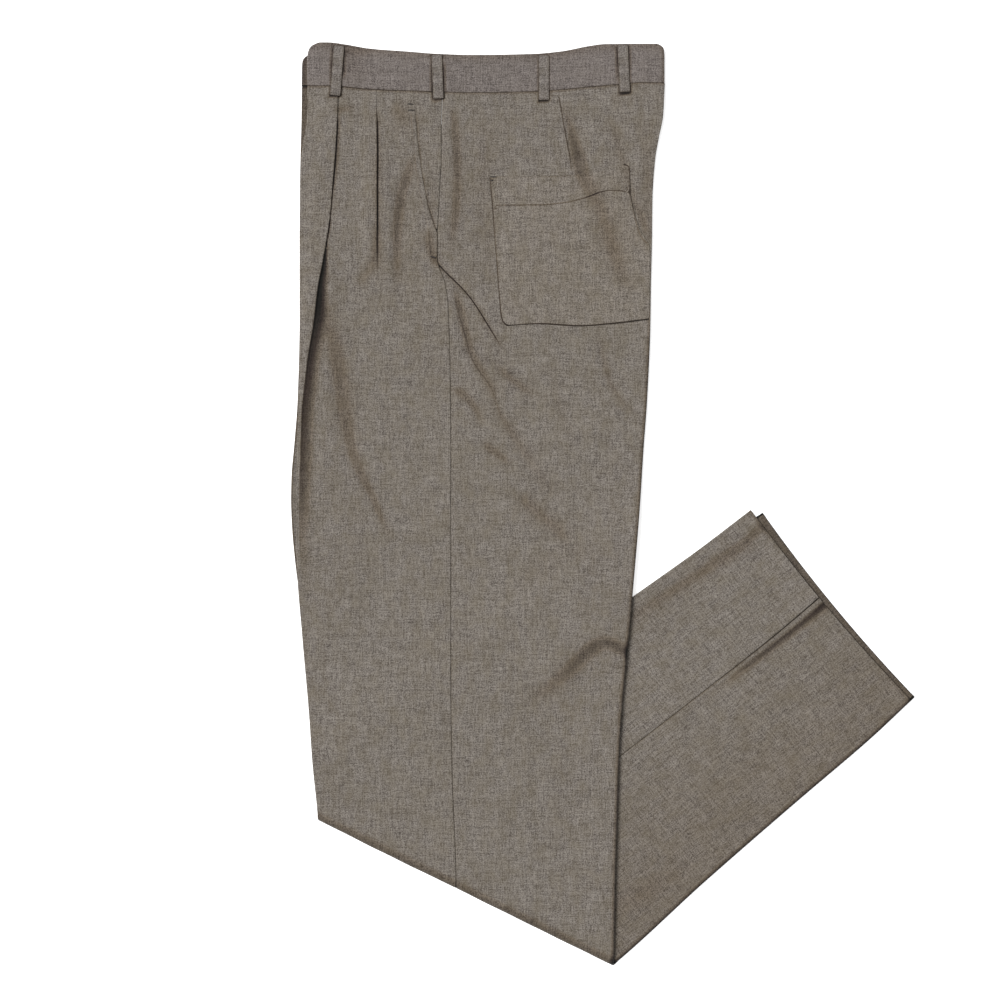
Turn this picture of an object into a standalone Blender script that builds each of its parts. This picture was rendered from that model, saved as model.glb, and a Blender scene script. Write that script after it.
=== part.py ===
"""Pleated dress trousers, laid on their left side up, with both legs folded under at the knee.

The garment is drawn flat first.  `across` runs from the front crease towards the back crease,
`down` runs from the top of the waistband towards the hem, and `height` is measured up through
the pressed stack of cloth: right outer leg, the hidden inner legs, left outer leg.  One function
then folds that flat garment at the knee and lays it on the ground.  Sizes are in millimetres;
the meshes are written in metres, with +Z up and +Y towards the waist.
"""
import math
from collections import namedtuple

import bmesh
import bpy
import numpy as np

for old in list(bpy.data.objects):
    bpy.data.objects.remove(old, do_unlink=True)

# Cloth and how it is stacked
CLOTH = 1.0                 # one wall of worsted cloth
GAP = 0.3                   # between sewn pieces, and between one layer and the next
INNER_LEGS = 2.7            # both inner legs, tucked fly and pocket bags, pressed together
STACK = 2 * CLOTH + 2 * GAP + INNER_LEGS
UNDER_GAP = 0.5             # air between the thigh and the shin folded under it
TURN = (CLOTH + GAP) / 2    # middle radius of a pleat's turn, so its layers lie one GAP apart
LIP = CLOTH / 2 + 0.25      # middle radius of the cloth's turn round a crease
LIP_RETURN = 4.0            # how far the cloth runs back inside after a crease
PLEAT_RISE = 4 * TURN       # three layers of a pleat stand this far above the flat cloth
POCKET_RISE = CLOTH + GAP   # the front lies this far up on the side pocket's facing

# The waistband and what is sewn to it
BAND_WALL = 3.0             # cloth, interlining and turnings
BAND_PROUD = 0.6            # the band stands this far above the panels
LOOP_WIDTH = 9.0
LOOP_SEATS = CLOTH + GAP + BAND_PROUD   # what the under side's band is raised by, on its loops

# The oblique fold at the knee: the outer corner of the fold and its direction
KNEE_ACROSS = 16.3
KNEE_DOWN = 666.5
KNEE_ANGLE = math.radians(26.2)
KNEE_RADIUS = STACK + UNDER_GAP / 2     # outside of the bend
KNEE_ARC = 2 * KNEE_RADIUS              # flat cloth used up by the bend
SHIN_ANGLE = math.radians(35.5)         # the shin's upper edge, once folded under
SHIN_RAMP = 53.0                        # the thigh's slope up on to the shin
SHIN_MARGIN = 32.0

# The part's origin in the flat drawing: the middle of the whole outline
ORIGIN_ACROSS = 260.6
ORIGIN_DOWN = 394.7

# Outline of the legs, laid straight: the creases of each leg, the side seam, and their middle lines
Leg = namedtuple("Leg", "down left_front right_front side_seam back")
LEGS = [
    Leg(36, 6.9, 1.9, 123.0, 313.5),
    Leg(64, 6.5, 1.5, 122.0, 312.5),
    Leg(98, 2.0, 0.5, 121.0, 305.5),
    Leg(133, 0.0, 0.0, 120.0, 302.7),
    Leg(168, 0.0, 0.3, 118.5, 302.7),
    Leg(200, 0.0, 0.0, 123.0, 301.5),
    Leg(240, 0.0, -0.2, 128.2, 301.0),
    Leg(305, -1.0, -1.7, 129.3, 298.4),
    Leg(345, -2.0, -5.0, 129.9, 295.5),
    Leg(391, -3.4, -7.7, 129.9, 292.5),
    Leg(443, -3.4, -4.3, 129.9, 288.2),
    Leg(512, 2.5, 2.2, 129.9, 282.0),
    Leg(563, 7.0, 6.8, 130.0, 277.0),
    Leg(615, 11.0, 10.8, 131.0, 273.8),
    Leg(666, 16.0, 15.8, 132.5, 272.2),
    Leg(722, 18.4, 18.2, 134.5, 270.6),
    Leg(789, 21.2, 20.8, 133.0, 269.4),
    Leg(899, 26.0, 25.0, 130.4, 260.6),
    Leg(1004, 32.0, 28.7, 130.3, 254.3),
    Leg(1080, 36.5, 31.2, 130.0, 250.5),
    Leg(1138, 40.0, 31.3, 128.0, 245.0),
]

# Sections across the flat garment, waist to hem: their ends at the front and back creases
Section = namedtuple("Section", "front back waist_share hem_share")
THIGH_SECTIONS = [
    Section(36, 34, 1.0, 0.0),
    Section(64, 62, 0.9, 0.0),
    Section(98, 97, 0.7, 0.0),
    Section(133, 133, 0.5, 0.0),
    Section(168, 169, 0.3, 0.0),
    Section(200, 203, 0.1, 0.0),
    Section(240, 248, 0.0, 0.0),
    Section(290, 305, 0.0, 0.0),
    Section(345, 362, 0.0, 0.0),
    Section(395, 415, 0.0, 0.0),
    Section(440, 467, 0.0, 0.0),
    Section(484, 520, 0.0, 0.0),
    Section(524, 573, 0.0, 0.0),
    Section(560, 625, 0.0, 0.0),
    Section(594, 677, 0.0, 0.0),
    Section(627, 729, 0.0, 0.0),
]
KNEE_STEPS = 6
SHIN_SECTIONS = [
    Section(720, 838, 0.0, 0.0),
    Section(820, 915, 0.0, 0.0),
    Section(920, 985, 0.0, 0.0),
    Section(1030, 1070, 0.0, 0.0),
]
RIGHT_HEM = Section(1121.5, 1132.5, 0.0, 1.0)
LEFT_HEM = Section(1130.0, 1137.0, 0.0, 1.0)
HEM_RISE = 3.8              # the hem is this much shorter at the side seam
HEM_TUCK = 0.5              # the inner legs end this far inside the hem

# The waist, from the front crease to the centre back: top edge of the band, and its seam
Waist = namedtuple("Waist", "across top seam")
WAIST = [
    Waist(7, -1.0, 36.0),
    Waist(29, -1.0, 36.0),
    Waist(60, 4.3, 39.3),
    Waist(95, 7.0, 40.4),
    Waist(150, 9.5, 41.7),
    Waist(200, 8.5, 40.8),
    Waist(249, 1.7, 36.8),
    Waist(270, 0.0, 35.0),
    Waist(297, 0.0, 32.7),
    Waist(314, 0.0, 33.5),
]

# Ends of the waistband, from its top edge (share 0) to its seam (share 1)
BandEnd = namedtuple("BandEnd", "share left_front right_front back")
BAND_ENDS = [
    BandEnd(0.00, 13.8, 10.0, 308.0),
    BandEnd(0.12, 9.8, 6.0, 311.5),
    BandEnd(0.35, 7.0, 2.7, 312.5),
    BandEnd(1.00, 6.9, 1.9, 313.5),
]

# Pleats: the folded edge, how far the cloth laps under it, and how much of it stands up
Pleat = namedtuple("Pleat", "down edge lap stand")
CREASE_PLEAT = [
    Pleat(36, 33.6, 13.0, 1.0),
    Pleat(64, 32.7, 13.0, 1.0),
    Pleat(98, 30.6, 13.0, 1.0),
    Pleat(133, 27.6, 12.0, 1.0),
    Pleat(168, 23.4, 10.0, 1.0),
    Pleat(200, 17.5, 7.0, 1.0),
    Pleat(240, 12.2, 0.0, 0.6),
    Pleat(290, 6.5, 0.0, 0.25),
    Pleat(345, 3.5, 0.0, 0.0),
    Pleat(400, 1.6, 0.0, 0.0),
    Pleat(613, 15.8, 0.0, 0.0),
    Pleat(666, 21.0, 0.0, 0.0),
    Pleat(1138, 44.0, 0.0, 0.0),
]
SIDE_PLEAT = [
    Pleat(36, 66.0, 10.0, 1.0),
    Pleat(64, 66.6, 10.0, 1.0),
    Pleat(98, 66.6, 9.0, 1.0),
    Pleat(133, 66.0, 8.0, 1.0),
    Pleat(168, 66.6, 0.0, 0.5),
    Pleat(200, 67.0, 0.0, 0.0),
    Pleat(666, 74.0, 0.0, 0.0),
    Pleat(1138, 84.0, 0.0, 0.0),
]

# The slanted mouth of the side pocket; below it the front ends at the side seam
Mouth = namedtuple("Mouth", "down edge rise")
POCKET_MOUTH = [
    Mouth(36, 96.6, 1.0),
    Mouth(64, 99.6, 1.0),
    Mouth(98, 103.0, 1.0),
    Mouth(133, 109.0, 1.0),
    Mouth(160, 117.6, 1.0),
]
FACING_LAP = 8.0            # the facing runs this far in under the front
FACING_FOOT = 158.0         # where the facing ends
FACING_FOOT_WIDTH = 9.6

# The patch pocket on the left seat
Patch = namedtuple("Patch", "down front back")
BACK_PATCH = [
    Patch(113.5, 162.5, 283.0),
    Patch(140.0, 165.0, 286.0),
    Patch(160.0, 167.0, 292.0),
    Patch(170.0, 168.0, 299.5),
    Patch(200.0, 170.0, 299.5),
    Patch(230.0, 172.5, 299.3),
    Patch(238.0, 174.0, 299.0),
    Patch(243.5, 181.0, 296.0),
]
PATCH_COLUMNS = 6

# Belt loops: where each starts on the top edge and ends below the seam
Loop = namedtuple("Loop", "top_across top_down foot_across foot_down seat")
BELT_LOOPS = [
    Loop(33.8, 2.2, 30.6, 44.6, PLEAT_RISE),
    Loop(117.8, 9.6, 119.0, 47.6, BAND_PROUD),
    Loop(209.4, 9.6, 209.4, 48.6, BAND_PROUD),
    Loop(277.0, 1.0, 279.0, 41.6, BAND_PROUD),
]
LOOP_ARCH = 0.4

CLOTH_COLOUR = (0.198, 0.174, 0.150, 1.0)
INSIDE_COLOUR = (0.150, 0.132, 0.112, 1.0)


def column(rows, name, down):
    """Read one named column of a table at a distance down the garment."""
    return float(np.interp(down, [row[0] for row in rows], [getattr(row, name) for row in rows]))


def column_at(rows, along, name, place):
    """Read one named column of a table against another."""
    return float(np.interp(place, [getattr(row, along) for row in rows],
                           [getattr(row, name) for row in rows]))


def ease(share):
    """0 to 1 with soft ends."""
    share = np.clip(share, 0.0, 1.0)
    return share * share * (3.0 - 2.0 * share)


def above_knee(across, down):
    """Distance from the knee's bend, positive towards the waist."""
    from_corner = (across - KNEE_ACROSS) * math.sin(KNEE_ANGLE)
    return from_corner - (down - KNEE_DOWN) * math.cos(KNEE_ANGLE) - KNEE_RADIUS


def lift(across, down):
    """How far the stack is raised off the ground by what lies under it."""
    into_shin = (across - KNEE_ACROSS) * math.sin(SHIN_ANGLE)
    into_shin += (down - KNEE_DOWN) * math.cos(SHIN_ANGLE)
    shin = max(ease((into_shin + SHIN_MARGIN + SHIN_RAMP) / SHIN_RAMP),
               ease(1.0 - above_knee(across, down) / 30.0))
    above = down - 8.0
    crease_edge = column(CREASE_PLEAT, "edge", down)
    crease = column(CREASE_PLEAT, "stand", above) * ease((crease_edge + 38.0 - across) / 33.0)
    side_edge = column(SIDE_PLEAT, "edge", down)
    side_start = side_edge - column(SIDE_PLEAT, "lap", down) - 4.0
    side = min(ease((side_edge + 24.0 - across) / 19.0), ease((across - side_start + 18.0) / 17.0))
    side *= column(SIDE_PLEAT, "stand", above)
    mouth = column(POCKET_MOUTH, "edge", down)
    pocket = min(ease((mouth + 44.0 - across) / 20.0), ease((across - mouth + 30.0) / 16.0))
    pocket *= float(ease((206.0 - down) / 32.0)) * POCKET_RISE
    waist = LOOP_SEATS * float(ease((100.0 - down) / 50.0))
    pleats = PLEAT_RISE * max(crease, side)
    return (STACK + UNDER_GAP) * shin + max(pleats, pocket) + waist


class Line:
    """One section line across the flat garment, with the lift at its own few knots."""

    def __init__(self, section):
        self.section = section
        down, slope = section.front, section.back - section.front
        self.front = column(LEGS, "left_front", down)
        self.back = column(LEGS, "back", section.back)
        self.seam = column(LEGS, "side_seam", down + slope * 0.42)
        self.pleat = self.read(CREASE_PLEAT, down)
        self.side = self.read(SIDE_PLEAT, down + slope * 0.22)
        self.has_mouth = section.front < 170.0
        self.end = column(POCKET_MOUTH, "edge", down) if section.front < 150.0 else self.seam - GAP / 2
        reach = self.back - self.seam
        start = self.side.edge - self.side.lap
        self.knots = [self.front + 7.0, self.pleat.edge + 4.0, start - 12.0, start - 3.0,
                      self.side.edge, self.side.edge + 4.0, self.end - 13.0, self.end - 9.5, self.seam,
                      self.seam + reach * 0.26, self.seam + reach * 0.52, self.seam + reach * 0.78,
                      self.back - 7.0]
        self.ends = [self.front - 9.0] + self.knots + [self.back + 6.0]
        self.waist = [column_at(WAIST, "across", "seam", x) for x in self.ends]
        self.rise = [float(lift(x, self.down(x))) for x in self.ends]

    @staticmethod
    def read(pleat, down):
        return Pleat(down, column(pleat, "edge", down), column(pleat, "lap", down),
                     column(pleat, "stand", down))

    def down(self, across):
        """How far down the garment this section lies at a place across it."""
        share = (across - self.front) / (self.back - self.front)
        down = self.section.front + (self.section.back - self.section.front) * share
        if self.section.waist_share:
            seam = float(np.interp(across, self.ends, self.waist))
            down += self.section.waist_share * (seam + GAP / 2 - 36.0 + 2.0 * share)
        if self.section.hem_share:
            share = min(max(share, 0.0), 1.0)
            down -= self.section.hem_share * HEM_RISE * 4.0 * share * (1.0 - share)
        return down

    def place(self, across, height, down=None):
        """A point of the flat garment, folded at the knee and laid on the ground, in metres."""
        down = self.down(across) if down is None else down
        raised = float(np.interp(across, self.ends, self.rise))
        return fold(across, down, height, raised)


def fold(across, down, height, raised):
    """Carry a point of the flat garment round the knee's bend."""
    above = above_knee(across, down)
    if above >= 0.0:
        shift, up = 0.0, height + raised
    else:
        radius = UNDER_GAP / 2 + height
        if above > -KNEE_ARC:
            turn = -above / KNEE_ARC * math.pi
            shift = -above - radius * math.sin(turn)
            up = STACK + UNDER_GAP / 2 + radius * math.cos(turn)
        else:
            shift = -above + (-above - KNEE_ARC)
            up = STACK - height
    x = across + shift * math.sin(KNEE_ANGLE) - ORIGIN_ACROSS
    y = -(down - shift * math.cos(KNEE_ANGLE)) + ORIGIN_DOWN
    return (x / 1000.0, y / 1000.0, up / 1000.0)


def knee_sections():
    """Sections parallel to the knee's fold, right round its bend."""
    sections = []
    for step in range(KNEE_STEPS + 1):
        above = -KNEE_ARC * step / KNEE_STEPS
        drop = (KNEE_RADIUS + above) / math.cos(KNEE_ANGLE)
        ends = [KNEE_DOWN - drop + (x - KNEE_ACROSS) * math.tan(KNEE_ANGLE) for x in (16.0, 269.8)]
        sections.append(Section(ends[0], ends[1], 0.0, 0.0))
    return sections


def offset(points, distance):
    """Move a section's line sideways by a distance, mitred at its corners."""
    points = np.array(points, dtype=float)
    step = np.diff(points, axis=0)
    step /= np.linalg.norm(step, axis=1)[:, None]
    side = np.stack([-step[:, 1], step[:, 0]], axis=1)
    before = np.vstack([side[:1], side])
    after = np.vstack([side, side[-1:]])
    middle = before + after
    middle /= np.linalg.norm(middle, axis=1)[:, None]
    reach = distance / np.clip((middle * before).sum(axis=1), 0.62, 1.0)
    return points + middle * reach[:, None]


def turn(across, rise, radius, start, end, steps):
    """Points along a round turn of the cloth, in degrees."""
    angles = np.radians(np.linspace(start, end, steps + 1))
    return [(across + radius * math.cos(a), rise + radius * math.sin(a)) for a in angles]


def pleat_fold(pleat, room):
    """The cloth's path through a pleat, from the strip on top to the flat cloth."""
    top = PLEAT_RISE * pleat.stand
    if pleat.lap >= 3.0:
        edge = pleat.edge - TURN - CLOTH / 2
        outer = turn(edge, top - TURN, TURN, 90, -90, 2)
        inner = turn(pleat.edge - pleat.lap, top - 3 * TURN, TURN, 90, 270, 2)
        return outer + inner
    width = min(8.0, room) if pleat.stand else 2.5
    shares = np.linspace(0.0, 1.0, 6)
    return [(pleat.edge - width * (0.6 - share), top * (1.0 - float(ease(share)))) for share in shares]


def front_line(line, edge):
    """Middle line of a front panel: crease, strip, pleat, pleat, pocket edge."""
    lip = [(edge + LIP + CLOTH / 2 + LIP_RETURN, -2 * LIP)]
    lip += turn(edge + LIP + CLOTH / 2, -LIP, LIP, 270, 90, 3)
    lip_end = edge + LIP + CLOTH / 2
    strip_start = max(line.pleat.edge - max(line.pleat.lap, 3.5) - 2.6, lip_end + 0.6)
    crease = pleat_fold(line.pleat, line.pleat.edge + 3.0 - strip_start)
    side = pleat_fold(line.side, 8.0)
    knots = line.knots
    pocket = POCKET_RISE if line.has_mouth else 0.0
    return (lip + [(strip_start, PLEAT_RISE * line.pleat.stand)] + crease
            + [(knots[1], 0.0), (knots[2], 0.0), (knots[3], PLEAT_RISE * line.side.stand)] + side
            + [(knots[5], 0.0), (knots[6], 0.0), (knots[7], pocket), (line.end, pocket)])


def back_line(line, edge):
    """Middle line of a back panel: side seam to the back crease and round it."""
    centre = edge - LIP - CLOTH / 2
    flat = [(line.seam + GAP / 2, 0.0)] + [(x, 0.0) for x in line.knots[9:]]
    lip = turn(centre, -LIP, LIP, 90, -90, 3)
    return flat + lip + [(centre - LIP_RETURN, -2 * LIP)]


def lay(line, points, is_left):
    """Place one side of a section's wall on the left (upper) or right (lower) outer leg."""
    placed = []
    for across, rise in points:
        height = STACK - CLOTH / 2 + rise if is_left else CLOTH / 2 - rise
        placed.append(line.place(across, height))
    return placed


def make_wall(name, outer, inner, colour):
    """Close two facing sheets of points, section by section, into one wall."""
    rows, columns = len(outer), len(outer[0])
    mesh = bmesh.new()
    skin = [[[mesh.verts.new(point) for point in row] for row in sheet] for sheet in (outer, inner)]

    def quad(a, b, c, d):
        mesh.faces.new((a, b, c))
        mesh.faces.new((a, c, d))

    for row in range(rows - 1):
        for at in range(columns - 1):
            for sheet in skin:
                quad(sheet[row][at], sheet[row][at + 1], sheet[row + 1][at + 1], sheet[row + 1][at])
        for at in (0, columns - 1):
            quad(skin[0][row][at], skin[0][row + 1][at], skin[1][row + 1][at], skin[1][row][at])
    for row in (0, rows - 1):
        for at in range(columns - 1):
            quad(skin[0][row][at], skin[0][row][at + 1], skin[1][row][at + 1], skin[1][row][at])
    bmesh.ops.recalc_face_normals(mesh, faces=mesh.faces)
    data = bpy.data.meshes.new(name)
    mesh.to_mesh(data)
    mesh.free()
    if signed_volume(data) < 0.0:
        data.flip_normals()
    data.materials.append(cloth_material(name, colour))
    bpy.context.collection.objects.link(bpy.data.objects.new(name, data))


def signed_volume(data):
    """Volume of a closed mesh, negative if its faces point in."""
    total = 0.0
    for face in data.polygons:
        a, b, c = (data.vertices[index].co for index in face.vertices)
        total += a.dot(b.cross(c)) / 6.0
    return total


def cloth_material(name, colour):
    material = bpy.data.materials.new(name + " worsted")
    material.use_nodes = True
    shader = material.node_tree.nodes["Principled BSDF"]
    shader.inputs["Base Color"].default_value = colour
    shader.inputs["Roughness"].default_value = 0.9
    shader.inputs["Metallic"].default_value = 0.0
    material.diffuse_color = colour
    return material


COMMON = THIGH_SECTIONS + knee_sections() + SHIN_SECTIONS
LINES = [Line(section) for section in COMMON]


def leg_lines(is_left):
    return LINES + [Line(LEFT_HEM if is_left else RIGHT_HEM)]


def front_panel(name, is_left):
    """A front: it wraps the front crease and takes both pleats."""
    sheets = ([], [])
    for line in leg_lines(is_left):
        edge = column(LEGS, "left_front" if is_left else "right_front", line.section.front)
        path = front_line(line, edge)
        for sheet, distance in zip(sheets, (CLOTH / 2, -CLOTH / 2)):
            sheet.append(lay(line, offset(path, distance), is_left))
    make_wall(name, sheets[0], sheets[1], CLOTH_COLOUR)


def back_panel(name, is_left):
    """A back: from the side seam round the back crease."""
    sheets = ([], [])
    for line in leg_lines(is_left):
        edge = line.back if is_left else line.back - 0.6
        path = back_line(line, edge)
        for sheet, distance in zip(sheets, (CLOTH / 2, -CLOTH / 2)):
            sheet.append(lay(line, offset(path, distance), is_left))
    make_wall(name, sheets[0], sheets[1], CLOTH_COLOUR)


def hidden_layers(name):
    """The inner legs, fly and pocket bags: one solid, stepped where the two hems show."""
    middle = STACK / 2
    sheets = ([], [])
    lines = [(line, False) for line in LINES[1:]]
    lines += [(Line(RIGHT_HEM), False), (Line(RIGHT_HEM), True), (Line(LEFT_HEM), True)]
    for number, (line, left_only) in enumerate(lines):
        start, end = line.knots[0], line.knots[-1]
        columns = [start] + [start + 1.0] + line.knots[1:-1] + [end - 1.0, end]
        low = middle if left_only else CLOTH + GAP
        high = STACK - CLOTH - GAP
        shift = -HEM_TUCK if number >= len(lines) - 3 else 0.0
        shift += 0.3 if number == len(lines) - 2 else 0.0
        top, bottom = [], []
        for at, across in enumerate(columns):
            at_rim = at in (0, len(columns) - 1)
            down = line.down(across) + shift
            upper = middle + 0.7 if at_rim else high
            lower = (middle - 0.7 if not left_only else middle + 0.1) if at_rim else low
            top.append(line.place(across, upper, down))
            bottom.append(line.place(across, lower, down))
        sheets[0].append(top)
        sheets[1].append(bottom)
    make_wall(name, sheets[0], sheets[1], INSIDE_COLOUR)


def band_line(line, across, share):
    """How far down a place on the waistband lies."""
    top = column_at(WAIST, "across", "top", across)
    seam = float(np.interp(across, line.ends, line.waist))
    return top + (seam - GAP / 2 - top) * share


def waistband(name, is_left):
    """Half the waistband, rounded where it folds at the front and at the centre back."""
    line = LINES[0]
    knots = line.knots
    humps = [(knots[0], 1.0), (knots[1], 1.0), (knots[2], 0.5), (knots[3], 1.0), (knots[4], 1.0),
             (knots[5], 0.5), (knots[6], 0.0)]
    sheets = ([], [])
    for row in BAND_ENDS:
        front = row.left_front if is_left else row.right_front
        columns = [front, front + 0.5, front + 1.6, max(knots[0], front + 3.0)] + knots[1:-1]
        columns += [min(knots[-1], row.back - 3.0), row.back - 1.6, row.back - 0.5, row.back]
        last = len(columns) - 1
        rim = {0: 0.95, 1: 0.3, last - 1: 0.3, last: 0.95}
        upper, lower = [], []
        for at, across in enumerate(columns):
            hump = np.interp(across, [h[0] for h in humps], [h[1] for h in humps])
            hump *= ease((across - front) / 10.0) * POCKET_RISE
            face = STACK + BAND_PROUD + hump - rim.get(at, 0.0)
            back = STACK + BAND_PROUD + hump - BAND_WALL + rim.get(at, 0.0)
            down = band_line(line, across, row.share)
            for sheet, height in ((upper, face), (lower, back)):
                height = height if is_left else STACK - height
                sheet.append(line.place(across, float(height), down))
        sheets[0].append(upper)
        sheets[1].append(lower)
    make_wall(name, sheets[0], sheets[1], CLOTH_COLOUR)


def belt_loop(name, loop, is_left):
    """A belt loop: a narrow strip caught at the band's top edge and below its seam."""
    line = LINES[0]
    sheets = ([], [])
    seat = max(BAND_PROUD, loop.seat) + GAP
    for share, arch in ((0.0, 0.0), (0.5, 1.0), (1.0, 0.0)):
        middle = loop.top_across + (loop.foot_across - loop.top_across) * share
        down = loop.top_down + (loop.foot_down - loop.top_down) * share
        upper, lower = [], []
        for side in (-0.5, 0.5):
            across = middle + side * LOOP_WIDTH
            for sheet, wall in ((upper, CLOTH), (lower, 0.0)):
                height = STACK + seat + wall + LOOP_ARCH * arch * (1.0 if is_left else 0.0)
                height = height if is_left else STACK - height
                raised = float(np.interp(middle, line.ends, line.rise))
                sheet.append(fold(across, down, height, raised))
        sheets[0].append(upper)
        sheets[1].append(lower)
    make_wall(name, sheets[0], sheets[1], CLOTH_COLOUR)


def on_panels(across, down, height):
    """A point over the thigh, carried by the two section lines on each side of it."""
    after = next(n for n, line in enumerate(LINES) if line.down(across) >= down)
    near, far = LINES[after - 1], LINES[after]
    share = (down - near.down(across)) / (far.down(across) - near.down(across))
    start = np.array(near.place(across, height))
    return tuple(start + (np.array(far.place(across, height)) - start) * share)


def side_pocket(name, is_left):
    """The facing seen in a side pocket's mouth, with its front edge under the front panel."""
    sheets = ([], [])
    lines = [line for line in LINES if line.section.front < 150.0]
    for sheet, distance in zip(sheets, (CLOTH / 2, -CLOTH / 2)):
        height = STACK - CLOTH / 2 + distance if is_left else CLOTH / 2 - distance
        for line in lines:
            columns = (line.end - FACING_LAP, line.end + 0.5, line.seam - GAP / 2)
            sheet.append([line.place(across, height) for across in columns])
        foot_seam = column(LEGS, "side_seam", FACING_FOOT) - GAP
        columns = [foot_seam - FACING_FOOT_WIDTH * share for share in (1.0, 0.5, 0.0)]
        sheet.append([on_panels(across, FACING_FOOT, height) for across in columns])
    make_wall(name, sheets[0], sheets[1], CLOTH_COLOUR)


def back_pocket(name):
    """The patch pocket on the left seat, carried by the back panel's own face."""
    sheets = ([], [])
    for sheet, height in zip(sheets, (STACK + GAP + CLOTH, STACK + GAP)):
        for patch in BACK_PATCH:
            columns = np.linspace(patch.front, patch.back, PATCH_COLUMNS)
            sheet.append([on_panels(float(across), patch.down, height) for across in columns])
    make_wall(name, sheets[0], sheets[1], CLOTH_COLOUR)


for side, is_left in (("left", True), ("right", False)):
    front_panel("front_" + side, is_left)
    back_panel("back_" + side, is_left)
    waistband("waistband_" + side, is_left)
    side_pocket("side_pocket_" + side, is_left)
    for number, loop in enumerate(BELT_LOOPS, start=1):
        belt_loop("belt_loop_%s_%d" % (side, number), loop, is_left)
back_pocket("back_pocket_left")
hidden_layers("hidden_layers")
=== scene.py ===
"""Pleated worsted dress trousers, pressed flat and laid down with both legs turned under at the knee.

Everything is drawn on the flat garment in millimetres first: across runs from the front crease to
the back crease, down runs from the top of the waistband to the hem, and height is measured up
through the pressed layers.  One fold at the knee then lays it on the table, in metres.
"""
import math

import bpy
import numpy as np
from mathutils.bvhtree import BVHTree
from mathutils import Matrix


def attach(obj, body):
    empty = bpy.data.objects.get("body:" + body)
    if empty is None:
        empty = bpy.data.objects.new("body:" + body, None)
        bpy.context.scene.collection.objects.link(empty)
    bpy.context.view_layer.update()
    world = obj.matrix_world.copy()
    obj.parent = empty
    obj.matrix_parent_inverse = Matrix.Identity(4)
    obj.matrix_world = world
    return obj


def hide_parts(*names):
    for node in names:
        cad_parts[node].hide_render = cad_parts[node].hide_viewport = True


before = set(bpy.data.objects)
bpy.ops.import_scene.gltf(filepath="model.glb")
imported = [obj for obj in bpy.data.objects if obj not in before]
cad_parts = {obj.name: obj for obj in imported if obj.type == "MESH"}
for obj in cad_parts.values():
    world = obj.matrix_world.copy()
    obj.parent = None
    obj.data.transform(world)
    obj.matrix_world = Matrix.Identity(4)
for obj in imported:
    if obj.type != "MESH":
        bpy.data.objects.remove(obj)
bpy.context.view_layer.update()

# ---------------------------------------------------------------------------------------------
# Backs.  Two back panels of light worsted, each with one dart, cut from the side seam to the
# centre back and pressed round a sharp back crease.  Everything else hangs on their outline.
# ---------------------------------------------------------------------------------------------
CLOTH = 0.7                 # worsted with its seam turnings pressed in
GAP = 0.3
STACK = 5.3                 # right outer leg, both inner legs, left outer leg
LIP = 0.6                   # the cloth's middle turns round a crease at this radius
LIP_RETURN = 4.0
UNDER_GAP = 0.5             # air between the thigh and the shin folded under it

KNEE_ACROSS, KNEE_DOWN, KNEE_ANGLE = 16.3, 666.5, math.radians(26.2)
KNEE_RADIUS = STACK + UNDER_GAP / 2
KNEE_ARC = 2 * KNEE_RADIUS
SHIN_ANGLE, SHIN_RAMP, SHIN_MARGIN = math.radians(35.5), 53.0, 32.0
MIDDLE_ACROSS, MIDDLE_DOWN = 260.6, 394.7

# (down, across) along each crease and along the side seam
LEFT_CREASE = [(36, 6.9), (64, 6.5), (80, 4.0), (98, 1.6), (133, 0.3), (168, 0.0), (240, 0.0),
               (305, -1.0), (345, -2.0), (391, -3.2), (443, -2.6), (512, 2.5), (563, 7.0),
               (615, 11.2), (666, 16.0), (722, 18.4), (789, 21.2), (899, 26.0), (1004, 32.0),
               (1080, 36.5), (1138, 40.0)]
RIGHT_CREASE = [(36, 1.9), (64, 1.5), (98, 0.5), (133, 0.0), (168, 0.3), (240, -0.2), (305, -2.0),
                (345, -5.0), (370, -7.2), (391, -7.7), (415, -6.8), (443, -4.3), (475, -0.5),
                (512, 2.2), (563, 6.8), (615, 10.8), (666, 15.8), (722, 18.2), (789, 20.8),
                (899, 25.0), (1004, 28.7), (1080, 31.2), (1138, 31.3)]
BACK_CREASE = [(34, 313.5), (62, 312.0), (80, 308.6), (98, 305.5), (133, 303.0), (168, 302.6),
               (203, 301.8), (248, 301.0), (305, 298.4), (345, 295.5), (391, 292.5), (443, 288.2),
               (512, 282.0), (563, 277.0), (615, 273.8), (666, 272.2), (722, 270.6), (789, 269.4),
               (899, 260.6), (1004, 254.3), (1080, 250.5), (1138, 245.0)]
SIDE_SEAM = [(36, 123.0), (70, 121.8), (98, 121.6), (125, 120.2), (147, 119.2), (163, 118.3),
             (183, 118.3), (191, 119.8), (204, 124.6), (222, 127.3), (253, 128.7), (288, 129.4),
             (340, 129.9), (546, 129.9), (631, 131.3), (722, 134.5), (789, 133.0), (899, 130.4),
             (1020, 129.9), (1080, 128.8), (1138, 125.6)]
WAIST_SEAM = [(7, 36.2), (29, 36.4), (60, 39.0), (95, 40.4), (150, 41.7), (200, 40.8), (225, 39.2),
              (249, 36.8), (270, 35.0), (297, 32.9), (314, 33.5)]

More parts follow.
